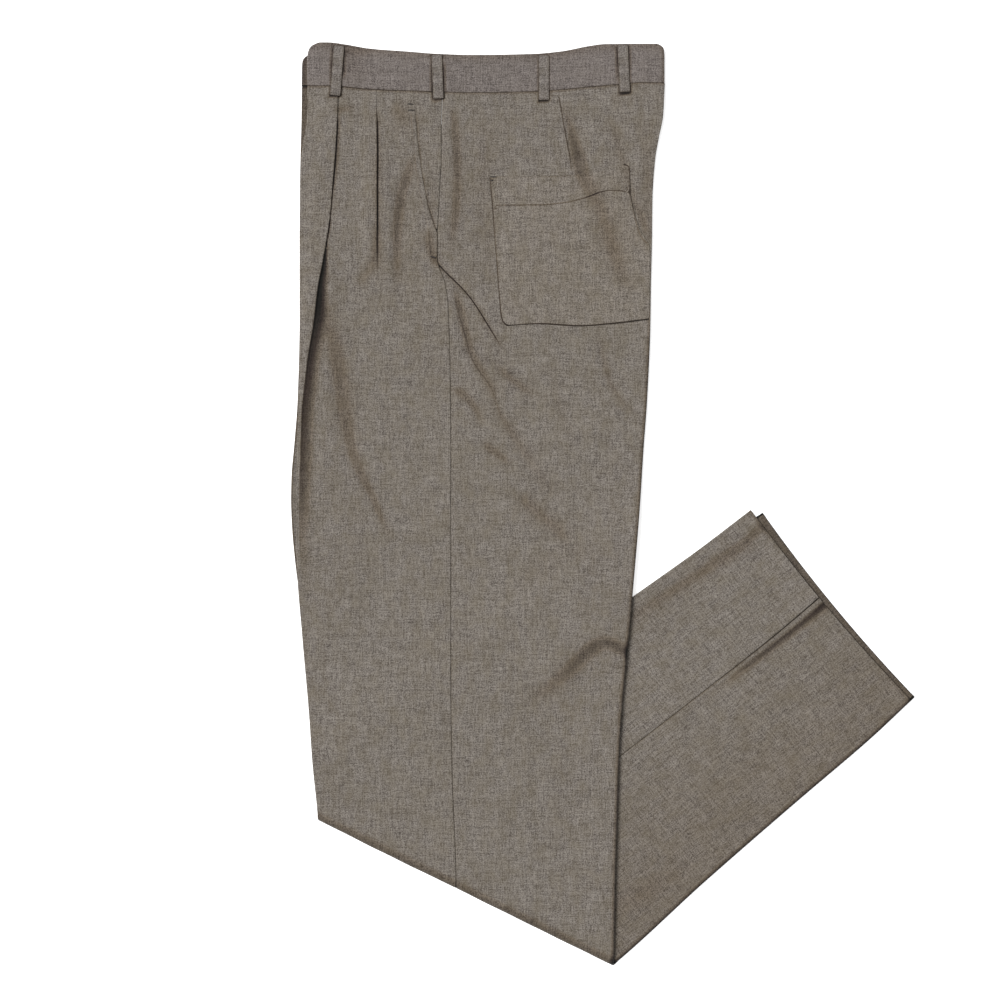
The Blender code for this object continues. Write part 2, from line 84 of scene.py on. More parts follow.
# Lines across the flat garment from crease to crease: how far down each starts and ends
LINES = [(36, 34), (64, 62), (98, 97), (133, 133), (168, 169), (200, 203), (240, 248), (290, 305),
         (345, 362), (395, 415), (440, 467), (484, 520), (524, 573), (560, 625), (594, 677),
         (627, 729)]
SHIN_LINES = [(720, 838), (820, 915), (920, 985), (1030, 1070)]
LEFT_HEM, RIGHT_HEM = (1130.0, 1137.0), (1123.2, 1132.5)
KNEE_ENDS = (16.0, 269.8)   # across, where the knee's fold meets the front and the back crease
HEM_RISE = 3.8
RIM = (0.0, 0.05, 0.16, 0.4)       # steps in from a cut edge, which is rounded off
RIM_THICKNESS = (0.0, 0.5, 0.8, 1.0)
BACK_CUT = {"left": 0.0, "right": 700.0}    # how far along the cloth's width each is cut


def curve(points, at):
    """A smooth line through (place, value) pairs, read at any number of places."""
    place, value = np.array(points, float).T
    slope = np.diff(value) / np.diff(place)
    same_way = slope[:-1] * slope[1:] > 0
    between = 2 * slope[:-1] * slope[1:] / np.where(same_way, slope[:-1] + slope[1:], 1.0)
    slope = np.concatenate([slope[:1], np.where(same_way, between, 0.0), slope[-1:]])
    at = np.clip(at, place[0], place[-1])
    k = np.clip(np.searchsorted(place, at, side="right") - 1, 0, len(place) - 2)
    step = place[k + 1] - place[k]
    t = (at - place[k]) / step
    start = (1 + 2 * t) * (1 - t) ** 2 * value[k] + t * (1 - t) ** 2 * step * slope[k]
    return start + t * t * (3 - 2 * t) * value[k + 1] + t * t * (t - 1) * step * slope[k + 1]


def ease(share):
    share = np.clip(share, 0.0, 1.0)
    return share * share * (3 - 2 * share)


def above_knee(across, down):
    from_corner = (across - KNEE_ACROSS) * math.sin(KNEE_ANGLE)
    return from_corner - (down - KNEE_DOWN) * math.cos(KNEE_ANGLE) - KNEE_RADIUS


# Pleats on the left and right fronts: (down, across of the folded edge), and what is under it
CREASE_PLEAT = [(36, 33.6), (64, 32.7), (92, 31.0), (117, 28.9), (145, 26.7), (170, 23.2),
                (193, 19.0), (206, 16.4), (241, 12.0), (268, 7.4), (294, 4.4), (322, 1.4),
                (348, -0.4), (370, -1.6), (394, -2.4), (440, 1.0), (512, 6.0), (613, 15.0),
                (666, 20.0), (1138, 44.0)]
CREASE_LAP = [(36, 13.0), (98, 13.0), (133, 11.0), (155, 7.0), (168, 4.0), (184, 0.0), (1138, 0.0)]
CREASE_STAND = [(36, 1.0), (170, 1.0), (190, 1.05), (206, 1.0), (241, 0.75), (290, 0.42), (345, 0.3),
                (400, 0.15), (450, 0.0), (1138, 0.0)]
CREASE_HOLLOW = [(36, 0.0), (172, 0.0), (185, 0.5), (198, 1.2), (215, 1.3), (241, 1.1), (290, 0.55),
                 (345, 0.3), (400, 0.15), (450, 0.0), (1138, 0.0)]
CREASE_WIDE = [(36, 0.25), (160, 0.25), (180, 0.4), (193, 0.8), (211, 1.1), (241, 1.4), (300, 1.7),
               (1138, 1.7)]
SIDE_PLEAT = [(36, 65.8), (64, 66.4), (98, 66.8), (133, 66.6), (168, 66.4), (200, 66.8), (666, 74.0),
              (1138, 84.0)]
SIDE_LAP = [(36, 10.0), (98, 9.5), (133, 8.0), (160, 5.0), (182, 1.0), (192, 0.0), (1138, 0.0)]
SIDE_STAND = [(36, 0.25), (54, 0.35), (66, 0.85), (98, 1.0), (140, 1.0), (168, 0.8), (186, 0.5),
              (206, 0.0), (1138, 0.0)]
# Painted shadow beside the crease pleat's folded edge (how dark, how far it reaches) and in the side
# pleat's slit, down the garment
PLEAT_SHADE = [(36, 0.15), (56, 0.35), (66, 1.3), (110, 1.6), (150, 1.4), (172, 1.7), (184, 2.1),
               (215, 2.0), (245, 1.8), (262, 1.7), (300, 1.5), (350, 1.3), (385, 1.1), (410, 0.7),
               (450, 0.3), (500, 0.0), (1138, 0.0)]
PLEAT_SHADE_REACH = [(36, 0.7), (60, 0.8), (75, 1.3), (120, 1.2), (150, 0.9), (168, 1.4), (180, 3.0),
                     (193, 5.6), (212, 8.2), (240, 10.4), (300, 10.6), (1138, 9.0)]
SIDE_SHADE = [(36, 0.0), (50, 0.1), (60, 1.3), (75, 1.8), (105, 1.8), (130, 1.2), (155, 0.8),
              (175, 0.5), (190, 0.2), (204, 0.0), (1138, 0.0)]
PLEAT_TURN = 0.45
PLEAT_RISE = 4 * PLEAT_TURN
POCKET_RISE = 1.0
LOOP_SEATS = 1.9            # the under side's waistband is held off the table by its loops
MOUTH = [(36, 96.6), (57, 99.4), (78, 101.0), (98, 103.2), (120, 106.6), (141, 110.9), (157, 116.0),
         (163, 118.1)]


def lift(across, down):
    """How far the layers are held off the table by what lies under them."""
    into_shin = (across - KNEE_ACROSS) * math.sin(SHIN_ANGLE) + (down - KNEE_DOWN) * math.cos(SHIN_ANGLE)
    shin = np.maximum(ease((into_shin + SHIN_MARGIN + SHIN_RAMP) / SHIN_RAMP),
                      ease(1.0 - above_knee(across, down) / 30.0))
    edge = curve(CREASE_PLEAT, down)
    crease = curve(CREASE_STAND, down - 8.0) * ease((edge + 38.0 - across) / 33.0)
    edge = curve(SIDE_PLEAT, down)
    start = edge - curve(SIDE_LAP, down) - 4.0
    side = np.minimum(ease((edge + 24.0 - across) / 19.0), ease((across - start + 18.0) / 17.0))
    pleats = PLEAT_RISE * np.maximum(crease, side * curve(SIDE_STAND, down - 8.0))
    mouth = curve(MOUTH, down)
    pocket = np.minimum(ease((mouth + 44.0 - across) / 20.0), ease((across - mouth + 30.0) / 16.0))
    pocket = pocket * ease((206.0 - down) / 32.0) * POCKET_RISE
    waist = LOOP_SEATS * ease((100.0 - down) / 50.0)
    return (STACK + UNDER_GAP) * shin + np.maximum(pleats, pocket) + waist


def lay(across, down, height):
    """Fold points of the flat garment at the knee and lay them on the table, in metres."""
    inside = np.maximum(-above_knee(across, down), 0.0)
    bend = np.minimum(inside, KNEE_ARC)
    turn = bend / KNEE_ARC * math.pi
    radius = UNDER_GAP / 2 + height
    shift = 2 * inside - bend - radius * np.sin(turn)
    up = np.where(inside > 0, STACK + UNDER_GAP / 2 + radius * np.cos(turn), height + lift(across, down))
    x = across + shift * math.sin(KNEE_ANGLE) - MIDDLE_ACROSS
    y = MIDDLE_DOWN - down + shift * math.cos(KNEE_ANGLE)
    return np.stack([x, y, up], axis=-1) / 1000.0


class Rows:
    """Fine lines across one leg from its front crease to its back crease, waist to hem."""

    def __init__(self, is_left, start=0, step=4.0, seat_step=2.8):
        knee = []
        for drop in np.linspace(0.0, KNEE_ARC, 17):
            at = KNEE_DOWN - (KNEE_RADIUS - drop) / math.cos(KNEE_ANGLE)
            knee.append([at + (x - KNEE_ACROSS) * math.tan(KNEE_ANGLE) for x in KNEE_ENDS])
        lines = LINES[start:] + knee + SHIN_LINES + [LEFT_HEM if is_left else RIGHT_HEM]
        ends = []
        for near, far in zip(np.array(lines[:-1], float), np.array(lines[1:], float)):
            count = max(1, round(float(np.max(far - near)) / (seat_step if far[0] < 350 else step)))
            ends += [near + (far - near) * k / count for k in range(count)]
        ends = np.array(ends + [lines[-1]])
        top = [ends[0] + inset for inset in RIM]
        hem = [ends[-1] - inset for inset in reversed(RIM)]
        ends = np.array(top + list(ends[1:-1]) + hem)
        self.first, self.last = ends[:, :1], ends[:, 1:]
        self.rim = np.array(list(RIM_THICKNESS) + [1.0] * (len(ends) - 8) + list(reversed(RIM_THICKNESS)))
        crease = LEFT_CREASE if is_left else RIGHT_CREASE
        self.front = curve(crease, self.first)
        self.back = curve(BACK_CREASE, self.last)
        self.to_waist = np.interp(self.first, [36, 64, 98, 133, 168, 200, 240],
                                  [1.0, 0.9, 0.7, 0.5, 0.3, 0.1, 0.0])
        self.to_hem = ease((self.first - 1030.0) / (lines[-1][0] - 1030.0)) * HEM_RISE

    def down(self, across):
        share = (across - self.front) / (self.back - self.front)
        waist = self.to_waist * (curve(WAIST_SEAM, across) + GAP / 2 - 36.0 + 2.0 * share)
        share_in = np.clip(share, 0.0, 1.0)
        hem = self.to_hem * 4.0 * share_in * (1.0 - share_in)
        return self.first + (self.last - self.first) * share + waist - hem

    def meet(self, points):
        """Where these lines cross a line that runs down the garment."""
        across = curve(points, self.first)
        for _ in range(4):
            across = curve(points, self.down(across))
        return across


# Creases left by wear and by laying the pair down: points along each as (across, down, depth, how
# far its first and second sides reach, how much shade is painted on it, a minus being a painted
# highlight).  The second side is the one towards the back crease.  A positive depth is a ridge.
LEFT_CREASES = [
    # drag lines from the foot of the side pocket towards the seat of the leg
    [(116, 184, 0, 2, 2, 0.3), (120.4, 190.9, -0.6, 2, 2.5, 0.7), (127.9, 198.3, -0.9, 2, 2.5, 0.6),
     (136.7, 207.3, -1.1, 2, 2.5, 0.6), (145.7, 215.9, -1.1, 2, 2.5, 0.6),
     (153.5, 227.9, -1.0, 2.2, 3, 0.6), (161.4, 240.8, -0.9, 2.5, 3.5, 0.6),
     (170, 254, -0.6, 3, 4.5, 0.45), (182, 272, 0, 4, 5, 0)],
    [(128, 190, 0, 2, 4, 0), (141, 203, 0.5, 2.5, 5, -0.35), (155, 220, 0.6, 3, 5, -0.35),
     (168, 241, 0.4, 3, 5, -0.25), (180, 262, 0, 4, 5, 0)],
    [(129, 203, 0, 2, 3, 0), (133.5, 216, -0.7, 2.5, 4, 0.65), (138, 232, -0.9, 2.8, 5, 0.9),
     (141.6, 248, -0.9, 3, 5, 0.85), (146.5, 264, -0.9, 3, 5, 0.75), (155.5, 281, -0.8, 3, 5, 0.7),
     (164, 296, -0.7, 3.5, 6, 0.6), (175, 321, -0.6, 4, 6, 0.6), (186, 341, -0.4, 4, 7, 0.5),
     (198, 358, -0.4, 4, 7, 0.45), (212, 380, -0.3, 5, 7, 0.3), (226, 398, 0, 6, 7, 0)],
    [(128.5, 200, 0, 2, 2, 0), (130, 215, 0.5, 2.5, 2, -0.25), (131.5, 240, 0.6, 2.5, 3, -0.25),
     (134, 262, 0, 3, 4, 0)],
    [(131, 296, 0, 2.5, 3.5, 0.3), (137, 299, -0.5, 3, 4.5, 0.8), (146, 307, -0.6, 3, 4.5, 0.8),
     (152, 317, -0.5, 3, 4.5, 0.6), (159, 333, 0, 3, 4, 0)],
    [(156, 340, 0, 3, 3, 0), (163, 347, -0.5, 3.5, 4, 0.8), (174, 355, -0.5, 3.5, 4, 0.7),
     (186, 365, 0, 3, 4, 0)],
    [(166, 272, 0, 4, 4, 0.2), (178, 284, -0.5, 4.5, 4.5, 0.6), (192, 295, -0.5, 4.5, 4.5, 0.6),
     (206, 303, 0, 4, 4, 0)],
    [(166, 300, 0, 4, 4, 0), (172, 307, 0.5, 4, 4, -0.4), (178, 316, 0.3, 4, 4, -0.3),
     (184, 326, 0, 4, 4, 0)],
    [(186, 384, 0, 6, 6, 0), (194, 393, -0.6, 6, 7, 0.6), (208, 405, -0.6, 6, 7, 0.6),
     (222, 417, -0.4, 6, 7, 0.6), (236, 430, 0, 5, 6, 0)],
    [(256, 244, 0, 4, 4, 0), (260, 266, -0.5, 3, 4, 0.45), (266, 290, -0.5, 3, 4, 0.5),
     (276, 306, -0.5, 3, 4, 0.45), (290, 322, 0, 4, 4, 0.1)],
    [(212, 270, 0, 4, 5, 0), (219, 298, -0.3, 4, 5, 0.25), (229, 328, -0.3, 4, 5, 0.25),
     (236, 352, 0, 4, 5, 0)],
    [(184, 480, 0, 9, 9, 0), (206, 452, -0.4, 9, 9, 0.25), (232, 434, -0.4, 8, 8, 0.25),
     (266, 442, 0, 8, 8, 0)],
    # the front's own fold from the crease pleat down to the knee
    [(20, 206, 0, 5, 7, 0), (25, 236, -0.5, 6, 9, 0.45), (30, 262, -0.7, 7, 9, 0.75),
     (35, 294, -0.8, 7, 9, 0.8), (39, 322, -0.8, 6, 8, 0.75), (44, 346, -0.7, 5, 6.5, 0.75),
     (52, 368, -0.6, 4, 5, 0.8), (61, 386, -0.6, 3, 4.5, 0.8), (69, 405, -0.5, 3, 4.5, 0.6),
     (80, 430, 0, 4, 5, 0)],
    [(18, 262, 0, 5, 6, 0), (22, 300, 0.5, 5, 6, -0.25), (28, 340, 0.5, 5, 6, -0.25),
     (38, 372, 0, 5, 6, 0)],
    # the crease pleat's top pulls a short way across
    [(27, 58, 0, 2, 3, 0.1), (34, 57, -0.3, 2.5, 3.5, 0.7), (42, 56, -0.3, 2.5, 3.5, 0.6),
     (52, 53, 0, 2, 3, 0)],
    # beside the side pleat
    [(78, 50, 0, 6, 10, 0), (84, 57, -0.5, 8, 10, 0.52), (90, 66, -0.5, 10, 8, 0.45),
     (88, 78, 0, 10, 8, 0.1)],
    [(105, 50, 0, 3, 4, 0), (103, 62, -0.3, 4, 4, 0.3), (102, 80, 0, 3, 3, 0)],
    [(97, 92, 0, 4, 4, 0), (94, 106, -0.7, 4, 5, 0.7), (89.5, 120, -0.9, 4, 5, 0.95),
     (85.5, 138, -1.0, 4, 5, 1.0), (83.4, 156, -1.0, 4, 5, 1.0), (82.5, 176, -0.9, 4, 6, 0.8),
     (83.4, 198, -0.8, 4, 6, 0.4), (84, 222, 0, 5, 6, 0)],
    [(72, 110, 0, 3, 3, 0), (74, 130, 0.6, 3.5, 3.5, -0.3), (75.5, 150, 0.8, 3.5, 3.5, -0.4),
     (76, 172, 0.8, 3.5, 3.5, -0.4), (75, 192, 0.5, 4, 4, -0.2), (74, 208, 0, 4, 4, 0)],
    [(67, 150, 0, 4, 3, 0), (66, 168, -0.4, 4, 4, 0.3), (64, 184, -0.7, 4.5, 4, 0.5),
     (59, 196, -0.6, 5, 4, 0.5), (52, 205, -0.3, 5, 5, 0.3), (44, 208, 0, 5, 5, 0)],
    # at the foot of the pocket's mouth
    [(106, 156, 0, 2.5, 3, 0), (109.5, 168, -0.4, 3, 4, 0.6), (112.5, 180, -0.4, 3, 4, 0.7),
     (117, 194, 0, 3, 3, 0)],
    # beside the side seam
    [(111, 88, 0, 3, 4, 0), (113, 120, -0.3, 3, 4, 0.25), (114, 160, -0.4, 3, 3, 0.4),
     (117, 184, 0, 3, 3, 0.2)],
    [(125.5, 50, 0, 2, 2.2, 0), (125.6, 76, 0.5, 2, 2.2, -0.4), (125.2, 120, 0.5, 2, 2.2, -0.4),
     (123.5, 150, 0.4, 2, 2, -0.3), (122, 170, 0, 2, 2, 0)],
    [(128, 50, 0, 2.6, 4, 0), (131.5, 66, -0.6, 2.6, 5, 0.7), (133.8, 86, -0.8, 2.6, 5, 0.85),
     (134.4, 110, -0.8, 2.6, 5, 0.85), (134, 135, -0.8, 3, 5, 0.85), (132, 156, -0.7, 3, 5, 0.7),
     (128.5, 178, 0, 4, 5, 0.1)],
    [(158, 50, 0, 8, 5, 0), (160, 80, -0.3, 9, 5, 0.25), (161, 130, -0.3, 9, 5, 0.3),
     (163, 180, -0.2, 8, 4, 0.2), (166, 215, 0, 6, 4, 0)],
    # the dart, and the cloth it draws in
    [(224, 46, 0, 1.5, 3, 0), (228, 60, -0.4, 1.8, 4, 0.55), (232.5, 74, -0.6, 2.5, 5, 0.72),
     (238, 88, -0.8, 4, 5, 0.74), (243, 99, -0.8, 5, 4.5, 0.8), (249, 110, 0, 5, 3, 0.1)],
    [(229.5, 70, 0, 1, 3, 0.1), (233, 86, -0.3, 1.5, 4, 0.6), (236, 100, -0.3, 2.5, 5, 0.7),
     (240, 110, 0, 3, 5, 0.3)],
    [(236, 106, 0, 2.5, 5, 0.2), (241, 114, -0.6, 4, 8, 0.8), (248, 124, -0.6, 6, 9, 0.75),
     (256, 138, -0.6, 7, 9, 0.6), (263, 156, -0.8, 8, 9, 0.6), (269, 177, -0.8, 8, 9, 0.65),
     (276, 196, -0.6, 8, 8, 0.5), (284, 218, 0, 7, 7, 0)],
    [(246, 92, 0, 3, 3, 0), (252, 104, 0.5, 3, 3, -0.35), (258, 118, 0, 3, 3, 0)],
    # seat: the patch's tacked corner pulls at the cloth
    [(262, 56, 0, 5, 5, 0), (270, 76, -0.4, 5, 5, 0.35), (276, 96, -0.5, 4, 4, 0.45),
     (281, 112, -0.5, 4, 4, 0.4), (287, 134, -0.6, 3, 4, 0.5), (293, 150, -0.6, 3, 4, 0.6),
     (299, 166, 0, 3, 4, 0.3)],
    [(291, 60, 0, 5, 8, 0), (296, 80, -0.4, 5, 8, 0.3), (299, 105, -0.4, 5, 8, 0.4),
     (299, 140, -0.3, 5, 6, 0.35), (299, 170, 0, 5, 6, 0)],
    # the thigh, where it lies over the shin
    [(286, 527, 0, 3, 4, 1.0), (277, 519, -0.8, 4.5, 5, 1.2), (262, 513, -0.9, 5, 6.5, 1.1),
     (249, 519, -1.0, 6, 7.5, 1.1), (238, 530, -1.0, 6, 7.5, 1.0), (224, 543, -0.8, 6.5, 7.5, 0.8),
     (208, 556, -0.5, 7, 7.5, 0.5), (190, 569, 0, 7, 7, 0)],
]
RIGHT_CREASES = [
    [(36, 880, 0, 4, 6, 0), (39, 940, -0.3, 5, 7, 0.35), (42, 990, -0.5, 5, 7, 0.5),
     (45, 1030, -0.5, 5, 7, 0.6), (48, 1070, -0.6, 5, 7, 0.7), (50, 1100, -0.5, 4, 6, 0.8),
     (48, 1120, -0.3, 3, 5, 0.8)],
    [(134.5, 960, 0, 1.5, 3, 0), (135, 1010, -0.3, 1.5, 4, 0.3), (135, 1036, -0.6, 1.8, 4, 1.0),
     (135, 1070, -0.7, 1.8, 4, 1.3), (134.4, 1100, -0.7, 1.8, 4.5, 1.4),
     (133, 1128, -0.7, 1.8, 5.5, 1.8)],
    [(128, 1030, 0, 2, 2, 0), (127.5, 1060, 0.5, 2.5, 2, -0.3), (126.5, 1100, 0.5, 3, 2, -0.3),
     (125, 1130, 0.3, 3, 2, 0)],
    [(225, 800, 0, 8, 8, 0), (236, 850, -0.3, 8, 8, 0.25), (240, 900, 0, 8, 8, 0)],
]
# Slow waves of the whole cloth: (length, direction, where it starts, height)
WAVES = [(96, 0.2, 0.4, 0.22), (71, 1.1, 2.1, 0.16), (52, -0.7, 4.0, 0.11), (38, 0.5, 1.2, 0.07),
         (29, 1.5, 3.3, 0.05)]


SPACING = 4.0               # between the points that a listed line is filled in with
LINE_REACH = 9.0            # how far from a crisp line its distance is still worked out
LINE_CORE, LINE_EDGE = 0.25, 0.9    # a crisp line is full dark to the first, gone at the second
BEYOND = 99.0               # stands for a place past either end of a line


def along(points, spacing=SPACING):
    """Fill in a listed line smoothly, with a point about every spacing."""
    points = np.array(points, float)
    travel = np.concatenate([[0.0], np.cumsum(np.hypot(*np.diff(points[:, :2], axis=0).T))])
    at = np.linspace(0.0, travel[-1], max(2, int(travel[-1] / spacing)))
    return np.stack([curve(np.stack([travel, column], 1), at) for column in points.T], 1)


def measure(line, across, down, margin):
    """For places near a line: which they are, how far to its second side, and the line's values."""
    low, high = line[:, :2].min(0) - margin, line[:, :2].max(0) + margin
    near = (across > low[0]) & (across < high[0]) & (down > low[1]) & (down < high[1])
    place = np.stack([across[near], down[near]], 1)
    step = line[1:, :2] - line[:-1, :2]
    offset = place[:, None] - line[None, :-1, :2]
    raw = (offset * step).sum(2) / (step ** 2).sum(1)
    share = np.clip(raw, 0.0, 1.0)
    nearest = ((offset - share[..., None] * step) ** 2).sum(2).argmin(1)
    pick = np.arange(len(place))
    raw, share = raw[pick, nearest], share[pick, nearest][:, None]
    offset, step = offset[pick, nearest], step[nearest]
    across_line = (step[:, 1] * offset[:, 0] - step[:, 0] * offset[:, 1]) / np.hypot(*step.T)
    radial = np.hypot(*(offset - share * step).T) * np.where(across_line > 0, 1.0, -1.0)
    beyond = ((raw < 0) & (nearest == 0)) | ((raw > 1) & (nearest == len(line) - 2))
    values = (line[nearest, 2:] * (1 - share) + line[nearest + 1, 2:] * share).T
    return near, radial, np.where(beyond, BEYOND, across_line), values


def relief(across, down, creases):
    """What creases and slow waves add to the height, and how much shade the creases paint in their hollows
    (a minus: a painted highlight on ridges).
    """
    rise, hollow = np.zeros(across.shape), np.zeros(across.shape)
    for length, direction, start, height in WAVES:
        way = across * math.cos(direction) + down * math.sin(direction)
        rise += height * np.sin(way * 2 * math.pi / length + start + 0.8 * np.sin(down / 61.0 + start))
    for points in creases:
        line = along(points)
        near, away, _, (depth, first, second, dark) = measure(line, across, down, 3.0 * line[:, 3:5].max())
        reach = (away / np.where(away > 0, second, first)) ** 2
        rise[near] += depth * np.exp(-reach)
        hollow[near] += dark * np.exp(-0.85 * reach)
    return rise, hollow


def draw(across, down, lines):
    """Crisp dark lines of stitching and painted shade, finer than the mesh: how far each place is from the
    nearest, and how dark that is.
    """
    away, dark = np.full(across.shape, LINE_REACH), np.zeros(across.shape)
    for points in lines:
        near, _, off, (strength,) = measure(along(points), across, down, LINE_REACH)
        closer = np.abs(off) < np.abs(away[near])
        away[near] = np.where(closer, off, away[near])
        dark[near] = np.where(closer, strength * ease((LINE_REACH - 1.0 - np.abs(off)) / 3.0), dark[near])
    return np.stack([away, dark], -1)


def outer_layer(across, down, rise, is_left):
    """Lay an outer leg's cloth: rise is how far its middle stands proud of the flat cloth."""
    creased, hollow = relief(across, down, LEFT_CREASES if is_left else RIGHT_CREASES)
    on_table = above_knee(across, down) > 0 if not is_left else above_knee(across, down) < -KNEE_ARC
    creased = np.where(on_table, np.minimum(creased, 0.0) * 0.4, creased)
    rise = rise + creased
    above = above_knee(across, down)
    # painted shade where the cloth turns away: from the knee's fold over all the left shin, which
    # faces the table; along the back crease; down the back half of the right shin; at its hem
    if is_left:
        hollow += 1.0 * ease((5.0 - above) / 8.0) + 0.7 * ease((-4.0 - above) / 3.0)
        hollow += 1.2 * ease((across - curve(BACK_CREASE, down) + 4.2) / 4.0) * ease((down - 200.0) / 60.0)
    else:
        hollow += 1.3 * ease((across - curve(BACK_CREASE, down) + 5.0) / 4.6)
        hollow += 0.36 * ease((across - 110.0) / 120.0) * ease((down - 700.0) / 100.0)
        hollow += 0.8 * ease((down + 3.8 - 1123.0 - (across - 31.0) * 0.05) / 3.0)
    # painted shadow beside and under the belt loops, and painted shade along the waist seam
    hollow = np.maximum(hollow, loop_shade(across, down))
    hollow = np.maximum(hollow, 1.5 * ease((curve(WAIST_SEAM, across) + 1.0 - down) / 0.9))
    return lay(across, down, STACK - CLOTH / 2 + rise if is_left else CLOTH / 2 - rise), hollow


def thinned(count):
    """Thickness along a row of so many places: full, but for the rounded cut edge at each end."""
    share = np.ones(count)
    share[:4], share[-4:] = RIM_THICKNESS, RIM_THICKNESS[::-1]
    return share


def make_sheet(name, middle, is_left, rim, edge_rim, cut, hollow, material, thickness=CLOTH, lines=None):
    """A thin closed sheet of cloth round its middle surface, with its cut edges rounded off."""
    along_row = np.gradient(middle, axis=1)
    down_rows = np.gradient(middle, axis=0)
    out = np.cross(along_row, down_rows)
    out /= np.linalg.norm(out, axis=-1, keepdims=True) + 1e-12
    if is_left:
        out = -out
    half = thickness / 2000.0 * rim[:, None, None] * edge_rim[None, :, None]
    rows, columns = middle.shape[:2]
    face = np.arange(rows * columns).reshape(rows, columns)
    back = face.copy()
    back[1:-1, 1:-1] = rows * columns + np.arange((rows - 2) * (columns - 2)).reshape(rows - 2, columns - 2)
    points = np.concatenate([(middle + out * half).reshape(-1, 3),
                             (middle - out * half)[1:-1, 1:-1].reshape(-1, 3)])
    quads = []
    for grid, turned in ((face, is_left), (back, not is_left)):
        corners = [grid[:-1, :-1], grid[:-1, 1:], grid[1:, 1:], grid[1:, :-1]]
        quads.append(np.stack(corners[::-1] if turned else corners, -1).reshape(-1, 4))
    if lines is None:
        lines = np.zeros(hollow.shape + (2,))
    cut, shades = [np.concatenate([part.reshape(-1, part.shape[-1]),
                                   part[1:-1, 1:-1].reshape(-1, part.shape[-1])])
                   for part in (cut, np.concatenate([hollow[..., None], lines], -1))]
    return make_mesh(name, points, np.concatenate(quads), cut, shades, material)


def make_mesh(name, points, faces, cut, shades, material):
    """A mesh whose cloth map says where each point lies in the cut cloth, in metres."""
    mesh = bpy.data.meshes.new(name)
    mesh.from_pydata([tuple(point) for point in points], [], [tuple(face) for face in faces])
    corner = np.zeros(len(mesh.loops), np.int32)
    mesh.loops.foreach_get("vertex_index", corner)
    mesh.uv_layers.new(name="cloth").data.foreach_set("uv", (np.asarray(cut)[corner] / 1000.0).ravel())
    # hollow carries painted shade, a minus being a painted highlight; line away and line dark carry crisp
    # dark lines of stitching and painted shade
    for values, label in zip(shades.T, ("hollow", "line away", "line dark")):
        mesh.attributes.new(label, "FLOAT", "POINT").data.foreach_set("value", values.astype(np.float32))
    mesh.polygons.foreach_set("use_smooth", np.ones(len(mesh.polygons), bool))
    mesh.materials.append(material)
    piece = bpy.data.objects.new(name, mesh)
    bpy.context.collection.objects.link(piece)
    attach(piece, "root")
    return piece


def colour(code):
    """A hex colour, as linear light."""
    parts = [int(code[k:k + 2], 16) / 255.0 for k in (1, 3, 5)]
    return tuple(p / 12.92 if p <= 0.04045 else ((p + 0.055) / 1.055) ** 2.4 for p in parts) + (1.0,)


def add(tree, kind, inputs=None, **settings):
    """Add one shader node: inputs are values or sockets to link from, settings its own choices."""
    node = tree.nodes.new(kind)
    for key, value in settings.items():
        setattr(node, key, value)
    for key, value in (inputs or {}).items():
        if isinstance(value, bpy.types.NodeSocket):
            tree.links.new(value, node.inputs[key])
        else:
            node.inputs[key].default_value = value
    return node


# Streaks of the weave: size across and down the cloth in mm, detail, where it starts, weight.  The
# yarns are a third of a millimetre; they are drawn coarser, as the eye takes them together.
STREAKS = [(0.9, 9.0, 0.0, 3.1, 0.72), (1.5, 45.0, 0.0, 6.7, 0.28), (9.0, 0.9, 0.0, 8.4, 0.56),
           (45.0, 1.5, 0.0, 2.9, 0.2), (1.0, 1.0, 0.0, 5.2, 1.55), (38.0, 60.0, 2.0, 1.7, 0.1)]

# Painted light and shade: what is left of the cloth's own colour on a ridge (-1, a painted highlight),
# on the flat (0) and in deeper hollows (painted shade), as a share of RIDGE_LIGHT
RIDGE_LIGHT = 1.3
PAINTED_LIGHT_AND_SHADE = [(-1.0, (1.0, 1.0, 1.0)), (0.0, (0.77, 0.77, 0.77)), (0.3, (0.705, 0.69, 0.67)),
                  (0.6, (0.62, 0.575, 0.52)), (1.0, (0.40, 0.365, 0.325)), (1.5, (0.15, 0.12, 0.11)),
                  (2.0, (0.04, 0.04, 0.035))]


